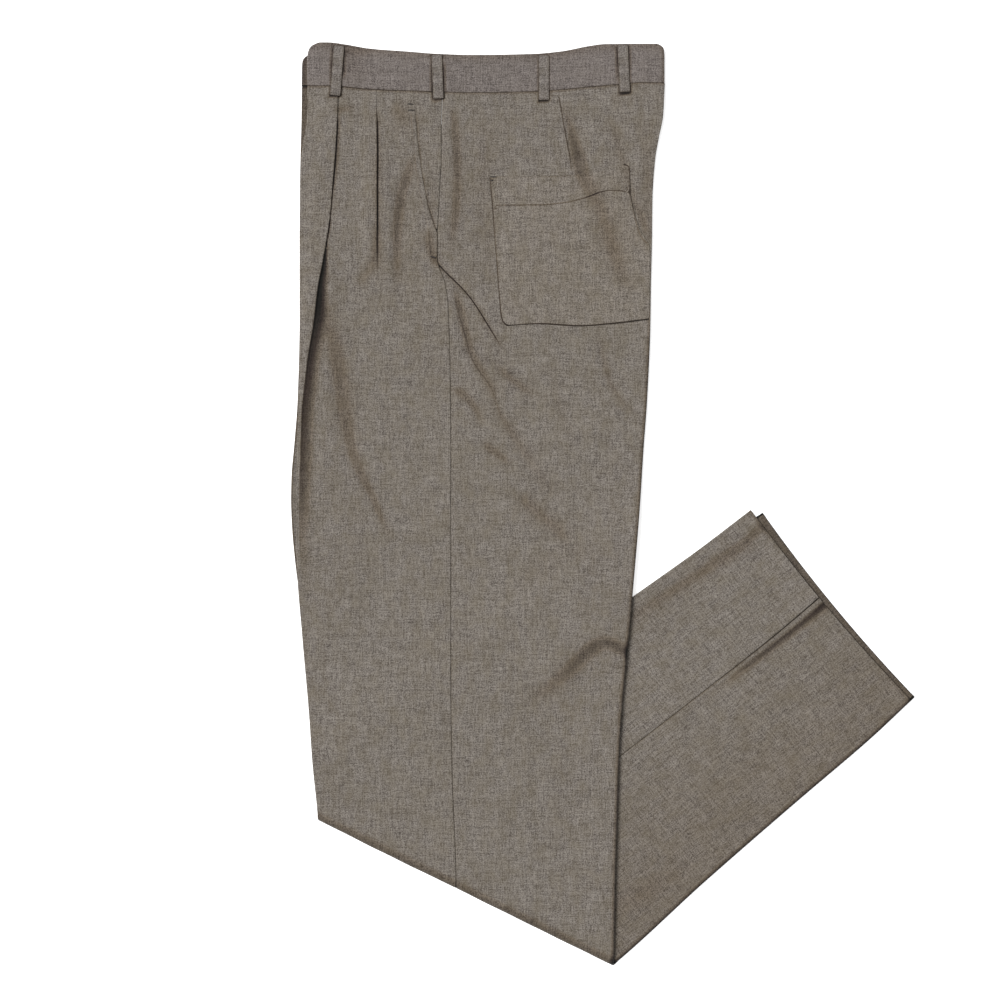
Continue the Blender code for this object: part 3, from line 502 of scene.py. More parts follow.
def worsted(name, light="#8c857d", dark="#4d4640", olive="#685e4b", start=0.0):
    """Melange worsted, yarns spun of light and dark wool: to the eye a dry, matt grey-brown with
    fine streaks both ways.  Painted shade turns it olive and then dark where the cloth lies in a
    hollow, and a painted highlight lifts it on ridges."""
    material = bpy.data.materials.new(name)
    material.use_nodes = True
    tree = material.node_tree
    shader = tree.nodes["Principled BSDF"]
    shader.inputs["Roughness"].default_value = 0.88
    shader.inputs["IOR"].default_value = 1.35
    shader.inputs["Sheen Weight"].default_value = 0.06
    shader.inputs["Sheen Roughness"].default_value = 0.5
    cloth = add(tree, "ShaderNodeUVMap", uv_map="cloth").outputs["UV"]
    tone = 0.5 - 0.5 * sum(streak[4] for streak in STREAKS)
    for width, length, detail, shift, weight in STREAKS:
        place = add(tree, "ShaderNodeMapping", {
            "Vector": cloth, "Scale": (1000.0 / width, 1000.0 / length, 1.0),
            "Location": (shift + start, shift * 0.7, shift)})
        cloud = add(tree, "ShaderNodeTexNoise", {
            "Vector": place.outputs["Vector"], "Scale": 1.0, "Detail": detail, "Roughness": 0.6})
        tone = add(tree, "ShaderNodeMath", {0: cloud.outputs["Fac"], 1: weight, 2: tone},
                   operation="MULTIPLY_ADD").outputs[0]
    yarn = add(tree, "ShaderNodeMix", {0: tone, 6: colour(dark), 7: colour(light)}, data_type="RGBA")
    place = add(tree, "ShaderNodeMapping", {"Vector": cloth, "Scale": (110.0, 70.0, 1.0),
                                            "Location": (start, 12.6, 12.6)})
    cloud = add(tree, "ShaderNodeTexNoise", {"Vector": place.outputs["Vector"], "Scale": 1.0,
                                             "Detail": 2.0})
    warm = add(tree, "ShaderNodeMath", {0: cloud.outputs["Fac"], 1: 1.0, 2: -0.36},
               operation="MULTIPLY_ADD")
    mixed = add(tree, "ShaderNodeMix", {0: warm.outputs[0], 6: yarn.outputs[2], 7: colour(olive)},
                data_type="RGBA")
    # Painted light and shade: the hollow attribute darkens and tints the yarn colour, and a minus lightens
    # it as a painted highlight; the crisp lines darken it too, for stitching and for painted shade under
    # edges
    hollow = add(tree, "ShaderNodeAttribute", attribute_name="hollow").outputs["Fac"]
    away = add(tree, "ShaderNodeAttribute", attribute_name="line away").outputs["Fac"]
    dark_line = add(tree, "ShaderNodeAttribute", attribute_name="line dark").outputs["Fac"]
    away = add(tree, "ShaderNodeMath", {0: away}, operation="ABSOLUTE").outputs[0]
    line = add(tree, "ShaderNodeMapRange", {"Value": away, "From Min": LINE_CORE, "From Max": LINE_EDGE,
                                            "To Min": 1.0, "To Max": 0.0}, interpolation_type="SMOOTHSTEP")
    loss = add(tree, "ShaderNodeMath", {0: line.outputs[0], 1: dark_line, 2: hollow},
               operation="MULTIPLY_ADD")
    place = add(tree, "ShaderNodeMapRange", {"Value": loss.outputs[0], "From Min": -1.0, "From Max": 2.0})
    taken = add(tree, "ShaderNodeValToRGB", {"Fac": place.outputs[0]})
    for spot, (red, green, blue) in PAINTED_LIGHT_AND_SHADE:
        stop = taken.color_ramp.elements.new((spot + 1.0) / 3.0) if 0.0 < spot + 1.0 < 3.0 else (
            taken.color_ramp.elements[0 if spot < 0 else -1])
        stop.color = (red, green, blue, 1.0)
    shaded_colour = add(tree, "ShaderNodeMix", {0: 1.0, 6: mixed.outputs[2], 7: taken.outputs["Color"]},
                  data_type="RGBA", blend_type="MULTIPLY")
    final = add(tree, "ShaderNodeVectorMath", {0: shaded_colour.outputs[2], "Scale": RIDGE_LIGHT},
                operation="SCALE")
    tree.links.new(final.outputs[0], shader.inputs["Base Color"])
    bump = add(tree, "ShaderNodeBump", {"Height": tone, "Strength": 0.3, "Distance": 0.0003})
    tree.links.new(bump.outputs[0], shader.inputs["Normal"])
    return material


# The panels: dry and matt, light and dark yarns crossing in short streaks
body_cloth = worsted("melange worsted")


def seam_dip(distance, depth=0.3, reach=1.3):
    """The cloth rolls down into a pressed seam."""
    return -depth * np.clip(1.0 - distance / reach, 0.0, 1.0) ** 2


# Belt loops: where each starts on the band and ends below its seam, as across and down twice
LOOP_WIDTH, LOOP_THICK = 9.2, 0.8
LOOPS = [(34.2, 2.0, 30.8, 44.8), (117.8, 9.6, 119.2, 47.4), (209.6, 9.8, 209.6, 48.4),
         (277.2, 1.0, 279.0, 41.4)]


def loop_shade(across, down):
    """The painted shadows where belt loops meet what they lie on: dark lines beside them and under their
    feet.
    """
    shade = np.zeros(across.shape)
    for top_across, top_down, foot_across, foot_down in LOOPS:
        length = math.hypot(foot_across - top_across, foot_down - top_down)
        sx, sy = (foot_across - top_across) / length, (foot_down - top_down) / length
        t = (across - top_across) * sx + (down - top_down) * sy
        w = np.abs((across - top_across) * sy - (down - top_down) * sx) - LOOP_WIDTH / 2
        beside = ease((1.5 - w) / 1.2) * ease((t + 1.0) / 1.5) * ease((length + 1.0 - t) / 1.5)
        foot = ease((0.8 - w) / 1.0) * ease((length + 2.6 - t) / 1.4) * ease((t - length + 2.0) / 1.0)
        shade = np.maximum(shade, np.maximum(1.5 * beside, 2.0 * foot))
    return shade


def peeping_shade(across, down):
    """Painted shade on the under leg's front edge, which peeps out beside the upper leg's at the waist."""
    return 1.0 * ease((curve(LEFT_CREASE, down) + 2.0 - across) / 3.0) * ease((125.0 - down) / 60.0)


def turned_in(across, down, is_left):
    """Where a crease's return shows at a lower layer, in the shade of the layer over it."""
    return ease(-above_knee(across, down) / 8.0 - 1.4) if is_left else ease(above_knee(across, down) / 8.0)


# Crisp dark lines on the back panels, of stitching and painted shade: points along each as (across, down,
# how dark)
SEAT_LINES = [
    # the stitched dart, drawn as a dark line of painted shade
    [(222.2, 43, 1.0), (225.3, 61, 1.1), (229.1, 82.6, 1.1), (232.2, 98, 0.9), (233.4, 108.4, 0.5)],
    # painted shade along the two drag lines' sharp edges
    [(118.6, 188.6, 1.3), (127.9, 198.3, 1.3), (137.0, 207.0, 1.3), (145.4, 216.4, 1.4),
     (153.3, 227.6, 1.4), (161.2, 240.4, 1.3), (167.4, 250.6, 1.0), (172.3, 258.6, 0.4)],
    [(132.8, 215, 0.2), (135.9, 228.8, 0.4), (139.8, 242.5, 0.4), (143.6, 256.3, 0.4),
     (146.6, 267.5, 0.45), (154.5, 281.2, 0.45), (164, 294.1, 0.3), (173.2, 321.6, 0.1)],
]
# Painted shade along the right leg's side seam, which opens a little towards the hem: darker there
RIGHT_SEAM_LINE = [[(130.8, 900, 0.2), (130.6, 1000, 0.5), (129.9, 1060, 0.9), (128.6, 1090, 1.2),
                    (126.6, 1128, 1.5)]]


def back_panel(side):
    is_left = side == "left"
    rows = Rows(is_left)
    seam = rows.meet(SIDE_SEAM) + GAP / 2
    edge = rows.back - (0.0 if is_left else 0.6)
    centre = edge - CLOTH / 2 - LIP
    inset = np.array(RIM + (0.9, 1.6, 2.6))
    share = np.linspace(0.0, 1.0, 80)[1:]
    flat = np.concatenate([seam + inset, seam + 2.6 + (centre - seam - 2.6) * share], 1)
    angle = np.radians(np.linspace(90, -90, 9))[1:]
    turn = centre + LIP * np.cos(angle)
    back_in = LIP_RETURN - np.array([2.6, 1.2] + list(reversed(RIM)))
    across = np.concatenate([flat, turn, centre - back_in], 1)
    rise = np.zeros(across.shape)
    rise[:, :len(inset)] += seam_dip(inset)
    rise[:, flat.shape[1]:flat.shape[1] + 8] = LIP * (np.sin(angle) - 1)
    rise[:, flat.shape[1] + 8:] = -2 * LIP
    down = rows.down(across)
    rise += seam_dip(down - curve(WAIST_SEAM, across), 0.5, 1.6) * rows.to_waist
    middle, hollow = outer_layer(across, down, rise, is_left)
    # Painted shade on the back crease's turned-in return, and along the side seam's edge, heavier towards
    # the hem
    hollow[:, flat.shape[1] + 1:] += 0.9 * turned_in(across, down, is_left)[:, flat.shape[1] + 1:]
    hollow += (0.5 + 0.6 * ease((down - 1000.0) / 60.0)) * np.clip(1.0 - (across - seam) / 0.6, 0.0, 1.0)
    cut = np.stack([across + BACK_CUT[side], down], -1)
    lines = draw(across, down, SEAT_LINES if is_left else SEAT_LINES[:1] + RIGHT_SEAM_LINE)
    piece = make_sheet(side + "_back", middle, is_left, rows.rim, thinned(across.shape[1]), cut, hollow,
                       body_cloth, lines=lines)
    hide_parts("back_" + side)
    return piece


back_panel("left")
back_panel("right")

# ---------------------------------------------------------------------------------------------
# Fronts.  Two front panels with two forward pleats each: the first pleat runs down into the front
# crease and stands open below the hip, the second is pressed shut for a hand's length.
# ---------------------------------------------------------------------------------------------
# How far along the cloth's width each is cut, so that streaks don't run on over a seam
FRONT_CUT = {"left": 300.0, "right": 1100.0}
# Places across an open pleat, from its edge; closest where the cloth turns down
OPEN_STEPS = np.array([-8.0, -6.0, -4.2, -2.8, -1.7, -1.2, -0.8, -0.5, -0.25, 0.0, 0.2, 0.4, 0.6, 0.8,
                       1.0, 1.25, 1.5, 1.8, 2.2, 2.7, 3.3, 4.0, 4.8, 5.6, 6.5, 7.5, 8.6, 9.8, 11.0,
                       12.2, 13.4, 14.6])


def pleat_path(edge, lap, stand, hollow, wide):
    """The cloth's path through a pleat: folded in three where it laps, an open step below."""
    top = PLEAT_RISE * stand
    angle = np.radians(np.linspace(90, -90, 9))
    turn = PLEAT_TURN * np.minimum(1.0, stand)
    outer = edge - turn - CLOTH / 2
    inner = edge - lap
    before = outer - np.array([8.0, 6.0, 4.0, 2.2, 0.9])
    under = outer + (inner - outer) * np.array([0.25, 0.5, 0.75])
    after = inner + (edge + 7.0 - inner) * np.array([0.12, 0.3, 0.5, 0.68, 0.85, 1.0])
    folded = np.concatenate([before, outer + turn * np.cos(angle), under, inner - turn * np.cos(angle),
                             after], 1)
    folded_rise = np.concatenate([
        np.repeat(top, 5, 1), top - turn + turn * np.sin(angle), np.repeat(top - 2 * turn, 3, 1),
        top - 3 * turn + turn * np.sin(angle), np.repeat(top - 4 * turn, 6, 1)], 1)
    steps = OPEN_STEPS * np.where(OPEN_STEPS > 0, np.maximum(wide, 0.6), 1.0)
    falling = ease((steps + 1.0) / (1.0 + 1.0 * wide))
    rising = ease((steps - 1.2 * wide) / (8.0 * wide))
    open_rise = top * (1 - falling) - hollow * falling * (1 - rising)
    shut = ease((lap - 0.5) / 3.0)
    return folded * shut + (edge + steps) * (1 - shut), folded_rise * shut + open_rise * (1 - shut)


# Crisp lines on the fronts: the mouth's stitching, and the painted shade under its lower tack
FRONT_LINES = [
    [(95.4, 57.6, 0.3), (97.2, 78, 0.35), (99, 98, 0.35), (101.8, 120, 0.35), (105.6, 140, 0.35),
     (110, 157, 0.3), (112.7, 182.4, 0.4)],
    [(112.6, 183.0, 0.5), (117.4, 184.2, 0.5)],
    # painted shadow under the two pleats' folded edges
    [(33.2, 62, 0.6), (32.0, 80, 1.3), (30.9, 98, 1.3), (28.9, 120, 1.2), (26.9, 145, 1.1),
     (23.7, 168, 1.0), (21.6, 180, 0.8), (19.8, 190, 0.4)],
    [(66.9, 60, 0.6), (67.2, 75, 1.5), (67.4, 98, 1.5), (67.2, 125, 1.2), (67.1, 150, 0.9),
     (67.0, 172, 0.6), (67.2, 190, 0.1)],
]


def front_panel(leg):
    is_left = leg == "left"
    rows = Rows(is_left)
    crease = rows.front
    seam = rows.meet(SIDE_SEAM) - GAP / 2
    end = np.where(rows.first < 158.0, np.minimum(rows.meet(MOUTH), seam), seam)
    pleat = np.maximum(rows.meet(CREASE_PLEAT), crease + 3.2)
    at = rows.down(pleat)
    stand, hollow_depth = curve(CREASE_STAND, at), curve(CREASE_HOLLOW, at)
    pleat_across, pleat_rise = pleat_path(pleat, curve(CREASE_LAP, at), stand, hollow_depth,
                                          curve(CREASE_WIDE, at))
    side = rows.meet(SIDE_PLEAT)
    side_at = rows.down(side)
    side_across, side_rise = pleat_path(side, curve(SIDE_LAP, side_at), curve(SIDE_STAND, side_at),
                                        0.3 * curve(SIDE_STAND, side_at), np.ones(side.shape))

    lip = crease + CLOTH / 2 + LIP
    angle = np.radians(np.linspace(270, 90, 9))
    back_in = LIP_RETURN - np.array(RIM + (1.2, 2.6))
    strip = np.linspace(0.0, 1.0, 10)[1:-1]
    between = np.linspace(0.0, 1.0, 12)[1:-1]
    inset = np.array(RIM + (0.9, 1.6, 2.6))[::-1]
    beyond = np.linspace(0.0, 1.0, 15)[1:-1]
    strip_start, pleat_start = lip + 0.4, np.maximum(pleat_across[:, :1], lip + 0.8)
    pleat_across = np.maximum(pleat_across, pleat_start + 0.05 * np.arange(32))
    mid_start, mid_end = pleat_across[:, -1:], side_across[:, :1] - 6.0
    out_start, out_end = side_across[:, -1:], end - 2.6
    parts = [(lip + back_in, -2 * LIP), (lip + LIP * np.cos(angle), LIP * (np.sin(angle) - 1)),
             (strip_start + (pleat_start - strip_start) * strip, pleat_rise[:, :1] * ease(strip * 1.1)),
             (pleat_across, pleat_rise), (mid_start + (mid_end - mid_start) * between, 0.0),
             (mid_end + (side_across[:, :1] - mid_end) * np.array([0.0, 0.33, 0.66]),
              side_rise[:, :1] * ease(np.array([0.0, 0.33, 0.66]))),
             (side_across, side_rise), (out_start + (out_end - out_start) * beyond, 0.0),
             (end - inset, 0.0)]
    across = np.concatenate([part[0] for part in parts], 1)
    rise = np.concatenate([np.broadcast_to(part[1], part[0].shape) for part in parts], 1)
    down = rows.down(across)
    from_end = end - across
    pocket = ease((rows.meet(MOUTH) + 14.0 - across) / 4.0) * ease((14.0 - from_end) / 11.0)
    closed = ease((66.0 - down) / 10.0)         # sewn shut above the upper tack
    rise = rise + POCKET_RISE * pocket * ease((190.0 - down) / 10.0) * (0.6 - 0.45 * closed)
    rise += seam_dip(from_end, 0.3, 1.3) * (1.0 - closed)
    # Painted shade along the pocket mouth's edge, heaviest at its foot, none where it is sewn shut
    painted_mouth_shade = (0.4 + 0.9 * ease((down - 158.0) / 8.0) * ease((190.0 - down) / 6.0)) * (1.0 - closed)
    rise += seam_dip(down - curve(WAIST_SEAM, across), 0.5, 1.6) * rows.to_waist
    middle, hollow = outer_layer(across, down, rise, is_left)
    hollow = hollow + painted_mouth_shade * np.clip(1.0 - from_end / 0.8, 0.0, 1.0)
    # Painted shadow beside the crease pleat's folded edge; painted shade on the front crease's turned-in
    # return and, on the right front, where its edge peeps out
    depth = curve(PLEAT_SHADE, at)
    reach = curve(PLEAT_SHADE_REACH, at)
    beside = across - pleat
    hollow = hollow + depth * ease((beside + 0.9) / 0.8) * ease((reach * 1.4 - beside) / (reach * 1.2))
    hollow[:, :15] += 0.9 * turned_in(across, down, is_left)[:, :15]
    if not is_left:
        hollow = np.maximum(hollow, peeping_shade(across, down))
    # Painted shadow in the side pleat's slit, and a painted pool of shade each side of it
    beside = across - side
    slit = curve(SIDE_SHADE, side_at)
    hollow += slit * ease((beside + 1.1) / 1.0) * ease((2.1 - beside) / 1.5)
    pool = ease((side_at - 60.0) / 60.0) * ease((212.0 - side_at) / 30.0)
    hollow += 0.35 * pool * ease((beside + 1.5) / 2.0) * ease((8.0 - beside) / 5.0)
    hollow += 0.3 * pool * ease((beside + 6.0) / 4.0) * ease((0.5 - beside) / 1.5)
    cut = np.stack([across + FRONT_CUT[leg], down], -1)
    lines = draw(across, down, FRONT_LINES)
    piece = make_sheet(leg + "_front", middle, is_left, rows.rim, thinned(across.shape[1]), cut, hollow,
                       body_cloth, lines=lines)
    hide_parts("front_" + leg)
    return piece


left_front, right_front = front_panel("left"), front_panel("right")

# ---------------------------------------------------------------------------------------------
# Inner legs.  The inside-leg halves of both legs, pressed flat between the outer ones; only their
# hems show, where the left leg is laid a little longer than the right.
# ---------------------------------------------------------------------------------------------
INSIDE_CUT = {"left": 1500.0, "right": 1900.0}
# The same cloth painted a shade darker, as painted shade: only its edges show, in the shade of the layer
# over it
inner_cloth = worsted("melange worsted, inside leg", light="#827b74", dark="#413b36", start=4.0)


def inner_leg(side):
    is_left = side == "left"
    rows = Rows(is_left, start=1, step=7.0, seat_step=7.0)
    height = 3.0 if is_left else 2.3
    share = np.linspace(0.0, 1.0, 40)
    inset = np.array(RIM)
    start, end = rows.front + 1.6, rows.back - 2.2
    across = np.concatenate([start + inset, start + 0.4 + (end - start - 0.8) * share[1:-1],
                             end - inset[::-1]], 1)
    down = rows.down(across) - 0.5 * rows.to_hem / HEM_RISE
    middle = lay(across, down, np.full(across.shape, height))
    cut = np.stack([across + INSIDE_CUT[side], down], -1)
    # Painted shade where its front edge peeps out at the waist, and along its hem
    piece = make_sheet(side + "_inside_leg", middle, is_left, rows.rim, thinned(across.shape[1]), cut,
                       peeping_shade(across, down) + 0.8 * ease((down - 1100.0) / 20.0), inner_cloth, 0.6)
    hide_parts("hidden_layers")
    return piece


inner_leg("left")
inner_leg("right")

# ---------------------------------------------------------------------------------------------
# Side pocket facings.  A strip of the same worsted behind each slanted pocket mouth, seen between
# the front's turned edge and the side seam.
# ---------------------------------------------------------------------------------------------
FACING_LAP, FACING_FOOT = 8.0, 158.0
FACING_CUT = {"left": 2300.0, "right": 2500.0}


def side_pocket(side):
    is_left = side == "left"
    rows = Rows(is_left)
    keep = (rows.first[:, 0] < FACING_FOOT)
    rows.first, rows.last = rows.first[keep], rows.last[keep]
    rows.front, rows.back = rows.front[keep], rows.back[keep]
    rows.to_waist, rows.to_hem = rows.to_waist[keep], rows.to_hem[keep]
    mouth, seam = rows.meet(MOUTH), rows.meet(SIDE_SEAM) - GAP / 2
    start = np.minimum(mouth, seam - 1.2) - FACING_LAP
    inset = np.array(RIM)
    share = np.linspace(0.0, 1.0, 14)[1:-1]
    across = np.concatenate([start + inset, start + 0.4 + (seam - start - 1.3) * share,
                             seam - np.array([1.3, 0.9]), seam - inset[::-1]], 1)
    rise = seam_dip(seam - across) - 0.1
    down = rows.down(across)
    rise += seam_dip(down - curve(WAIST_SEAM, across), 0.5, 1.6) * rows.to_waist
    middle, hollow = outer_layer(across, down, rise, is_left)
    # Painted shade under the front's turned edge along the pocket mouth
    under_mouth = across - np.minimum(mouth, seam)
    hollow = hollow + 1.0 * ease((1.6 - under_mouth) / 1.6) * ease((down - 56.0) / 10.0)
    rim = np.ones(len(across))
    rim[:4], rim[-1] = RIM_THICKNESS, 0.0
    cut = np.stack([across + FACING_CUT[side], down], -1)
    piece = make_sheet(side + "_pocket_facing", middle, is_left, rim, thinned(across.shape[1]), cut, hollow,
                       body_cloth)
    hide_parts("side_pocket_" + side)
    return piece


side_pocket("left")
side_pocket("right")

# ---------------------------------------------------------------------------------------------
# Waistband.  Two halves of worsted over a firm interlining, seamed on above the pleats; the upper
# edge is turned over and rolls away, and each end is rounded where the half turns back on itself.
# ---------------------------------------------------------------------------------------------
BAND_THICK, BAND_PROUD, BAND_ROLL, BAND_DEEP = 2.6, 0.6, 8.0, 36.0
BAND_CUT = {"left": 2700.0, "right": 3100.0}
BAND_TOP = [(7, -0.9), (24, -0.9), (40, 1.0), (60, 4.3), (95, 7.0), (120, 8.9), (150, 9.5),
            (200, 8.7), (225, 6.4), (249, 1.8), (262, 0.2), (297, 0.0), (314, 0.0)]
BAND_FRONT_LEFT = [(0.0, 16.5), (0.06, 11.5), (0.14, 8.6), (0.25, 7.2), (0.4, 6.7), (1.0, 7.0)]
BAND_FRONT_RIGHT = [(0.0, 22.0), (0.1, 16.0), (0.2, 11.0), (0.28, 6.8), (0.34, 3.8), (0.42, 2.3),
                    (0.55, 1.9), (1.0, 1.7)]
BAND_BACK = [(0.0, 307.5), (0.05, 310.5), (0.12, 312.4), (0.35, 313.2), (1.0, 313.2)]
BAND_HUMPS = [(0, 0.6), (30, 1.0), (45, 0.4), (60, 1.0), (72, 0.9), (90, 0.4), (115, 0.35),
              (135, 0.0), (320, 0.0)]
# Held flat by its interlining, the cloth looks smoother here, a little darker and less olive
band_cloth = worsted("melange worsted over interlining", light="#88807b", dark="#4b4441",
                     olive="#6a625b", start=9.0)


def band_down(across, share):
    top = curve(BAND_TOP, across)
    return top + (curve(WAIST_SEAM, across) - GAP / 2 - top) * share


def band_face(across, share):
    """Height of the band's outer face above the flat cloth."""
    from_top = np.maximum(share, 0.0) * BAND_DEEP
    roll = -1.0 * np.clip(1.0 - from_top / BAND_ROLL, 0.0, 1.0) ** 2
    foot = seam_dip((1.0 - share) * BAND_DEEP, 0.5, 1.8)
    return BAND_PROUD + curve(BAND_HUMPS, across) + roll + foot


def waistband(side):
    is_left = side == "left"
    sides = BAND_FRONT_LEFT if is_left else BAND_FRONT_RIGHT
    rim = np.array([0.0, 0.08, 0.3, 0.7, 1.3, 2.2])
    inner = np.linspace(0.0, 1.0, 96)[1:-1]
    steps = np.concatenate([[0.0, 0.02, 0.06, 0.12, 0.22, 0.4], np.linspace(0.7, 35.2, 26),
                            [35.6, 35.8, 35.9, 36.0]]) / BAND_DEEP
    front, back = curve(sides, steps)[:, None], curve(BAND_BACK, steps)[:, None]
    across = np.concatenate([front + rim, front + 2.2 + (back - front - 4.4) * inner, back - rim[::-1]], 1)
    share = np.repeat(steps[:, None], across.shape[1], 1)
    down = band_down(across, share)
    edge_rim = np.ones(across.shape[1])
    edge_rim[:6] = np.sqrt(1 - (1 - rim / 2.2) ** 2)
    edge_rim[-6:] = edge_rim[:6][::-1]
    rim_rows = np.ones(len(steps))
    rim_rows[:6] = [0.0, 0.3, 0.5, 0.68, 0.85, 1.0]
    rim_rows[-4:] = [1.0, 0.8, 0.5, 0.0]
    creased, hollow = relief(across, down, [])
    rise = band_face(across, share) - BAND_THICK / 2 + creased * 0.5
    middle = lay(across, down, STACK + rise if is_left else -rise)
    # Painted shade along the upper edge where it rolls away and along the seam at its foot, darker near the
    # front below the upper edge, at the left half's back end and where the right half's front edge peeps
    # out; then the loops' painted shadows
    hollow = hollow + 0.5 * np.clip(1.2 - share * BAND_DEEP / BAND_ROLL, 0.0, 1.0)
    hollow += 1.4 * np.clip(1.0 - (1.0 - share) * BAND_DEEP / 0.8, 0.0, 1.0)
    hollow += 0.35 * ease((68.0 - across) / 22.0) * ease((across - 36.0) / 6.0) * ease((1.1 - share) / 0.6)
    hollow += 0.6 * ease((across - 308.5) / 4.0) if is_left else 1.2 * peeping_shade(across, down)
    hollow = np.maximum(hollow, loop_shade(across, down))
    cut = np.stack([across + BAND_CUT[side], down], -1)
    piece = make_sheet(side + "_waistband", middle, is_left, rim_rows, edge_rim, cut, hollow, band_cloth,
                       BAND_THICK)
    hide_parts("waistband_" + side)
    return piece


waistband("left")
waistband("right")

# ---------------------------------------------------------------------------------------------
# Belt loops.  Narrow strips of worsted, folded in three and stitched along both edges, caught in
# the band's upper edge and tacked down just below its seam.
# ---------------------------------------------------------------------------------------------
LOOP_CUT = 3500.0
# Folded in three and pressed, the cloth looks a shade darker and closer
loop_cloth = worsted("melange worsted, belt loops", light="#88817b", dark="#49433f", start=13.0)


def surface(across, down, is_left):
    """How far the outer face of band or panel stands above the flat cloth."""
    share = (down - curve(BAND_TOP, across)) / (curve(WAIST_SEAM, across) - curve(BAND_TOP, across))
    return np.where(share < 1.0, band_face(across, share), 0.0)


def belt_loop(side, number, place):
    is_left = side == "left"
    top_across, top_down, foot_across, foot_down = place
    along_loop = np.concatenate([[0.0, 0.004, 0.012, 0.03], np.linspace(0.05, 0.95, 16),
                                 [0.97, 0.988, 0.996, 1.0]])
    # from the middle to one side, with the stitching's groove near the edge; the other side mirrors it
    half_wide, half_rim = np.array([(0.0, 1.0), (0.3, 1.0), (0.6, 1.0), (0.7, 0.86), (0.78, 1.0),
                                    (0.88, 0.95), (0.95, 0.75), (0.985, 0.4), (1.0, 0.0)]).T
    wide = np.concatenate([-half_wide[:0:-1], half_wide])
    edge_rim = np.concatenate([half_rim[:0:-1], half_rim])
    rim = np.ones(len(along_loop))
    rim[:4], rim[-4:] = (0.0, 0.45, 0.8, 1.0), (1.0, 0.8, 0.45, 0.0)
    length = math.hypot(foot_across - top_across, foot_down - top_down)
    sx, sy = (foot_across - top_across) / length, (foot_down - top_down) / length
    t, w = np.meshgrid(along_loop, wide * LOOP_WIDTH / 2, indexing="ij")
    across = top_across + sx * t * length + sy * w
    down = top_down + sy * t * length - sx * w
    middle_across = top_across + sx * t * length
    seat = surface(middle_across, np.full(t.shape, top_down + 0.5 * (foot_down - top_down)), is_left)
    arch = 0.35 * np.sin(np.clip(t, 0, 1) * math.pi) ** 0.6
    top_roll = -1.1 * np.clip(1 - t / 0.09, 0, 1) ** 2
    foot = -0.5 * np.clip((t - 0.93) / 0.07, 0, 1) ** 2
    rise = seat + LOOP_THICK / 2 + 0.15 + arch * (1.0 if is_left else 0.25) + top_roll + foot
    middle = lay(across, down, STACK + rise if is_left else -rise)
    middle[..., 2] += lay(middle_across, down, 0 * t)[..., 2] - lay(across, down, 0 * t)[..., 2]
    # Painted shade along the loop's two stitched edges and at both its ends
    hollow = 1.5 * np.clip((np.abs(w) / (LOOP_WIDTH / 2) - 0.86) / 0.14, 0, 1)
    hollow += 1.2 * np.clip((t - 0.98) / 0.02, 0, 1) + 0.8 * np.clip((0.03 - t) / 0.03, 0, 1)
    cut = np.stack([w + LOOP_CUT, t * length], -1)
    piece = make_sheet("%s_belt_loop_%d" % (side, number), middle, is_left, rim, edge_rim, cut, hollow,
                       loop_cloth, LOOP_THICK)
    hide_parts("belt_loop_%s_%d" % (side, number))
    return piece


for number, place in enumerate(LOOPS, start=1):
    belt_loop("left", number, place)
    belt_loop("right", number, place)

# ---------------------------------------------------------------------------------------------
# Back pocket.  A patch of the worsted sewn on the left seat with its edges turned in; its mouth
# is bound and its right side runs off round the centre back.
# ---------------------------------------------------------------------------------------------
PATCH_SIDES = [(113.5, 162.8, 283.4), (127.0, 163.8, 283.6), (138.5, 165.0, 284.2),
               (155, 166.2, 287.5), (168, 167.2, 292.0), (176, 167.8, 297.0), (182, 168.3, 300.6),
               (200, 169.6, 300.8), (222, 171.4, 300.4), (236, 172.4, 299.9), (240, 173.6, 299.8),
               (242, 175.4, 299.8), (243.2, 178.5, 299.8)]
PATCH_TOP, PATCH_FOOT, PATCH_CUT = 113.5, 243.2, 3900.0
# The patch's colours are painted a shade lighter, a painted highlight for the little more light it catches
# lying proud of the seat
patch_cloth = worsted("melange worsted, patch", light="#8f877e", dark="#4f4841", start=17.0)


# Crisp dark lines on the patch, of stitching and painted shade along its edges: its stitched side and foot,
# the seam that binds its mouth, its top edge
PATCH_LINES = [
    [(163.4, 114.0, 1.0), (165.6, 138.5, 1.15), (167.8, 168, 1.0), (170.2, 200, 1.15),
     (172.0, 222, 1.3), (173.2, 234, 1.5), (175.6, 240.2, 1.8), (179.6, 241.6, 1.9),
     (184.0, 241.3, 1.8), (193.0, 240.5, 1.6), (207.0, 239.9, 1.6), (240.0, 241.7, 1.6),
     (272.0, 239.3, 1.7), (296.0, 236.4, 1.9), (300.5, 235.8, 1.9)],
    [(166.8, 138.5, 1.1), (189, 138.2, 1.0), (207.3, 138, 0.95), (228.8, 135.9, 0.95),
     (249.4, 130.4, 1.0), (258, 127, 1.0), (266.6, 125.6, 1.1), (276, 126, 1.1), (284.7, 128.1, 1.0)],
    [(163.2, 114.0, 0.4), (196, 114.2, 0.25), (228, 113.4, 0.45), (240, 110.4, 0.7), (252, 108.0, 0.7)],
    [(258, 105.6, 0.6), (268, 103.0, 1.3), (276, 103.2, 1.3), (282.6, 104.8, 1.1), (283.2, 112, 0.8),
     (283.9, 128, 0.9), (286.4, 142, 0.8), (290.0, 158, 0.7), (295, 168.5, 0.8), (299.6, 172, 0.8)],
]


def patch_down(share_down, share_across):
    """The patch's top and bottom edges aren't straight: both dip a little in the middle."""
    top = curve([(0, PATCH_TOP), (0.22, PATCH_TOP), (0.5, 112.5), (0.75, 107.5), (0.9, 101.5),
                 (1.0, 102.5)], share_across)
    foot = curve([(0, PATCH_FOOT), (0.3, 240.5), (0.55, 242.3), (0.8, 240.0), (1.0, 236.5)],
                 share_across)
    return top + (foot - top) * share_down


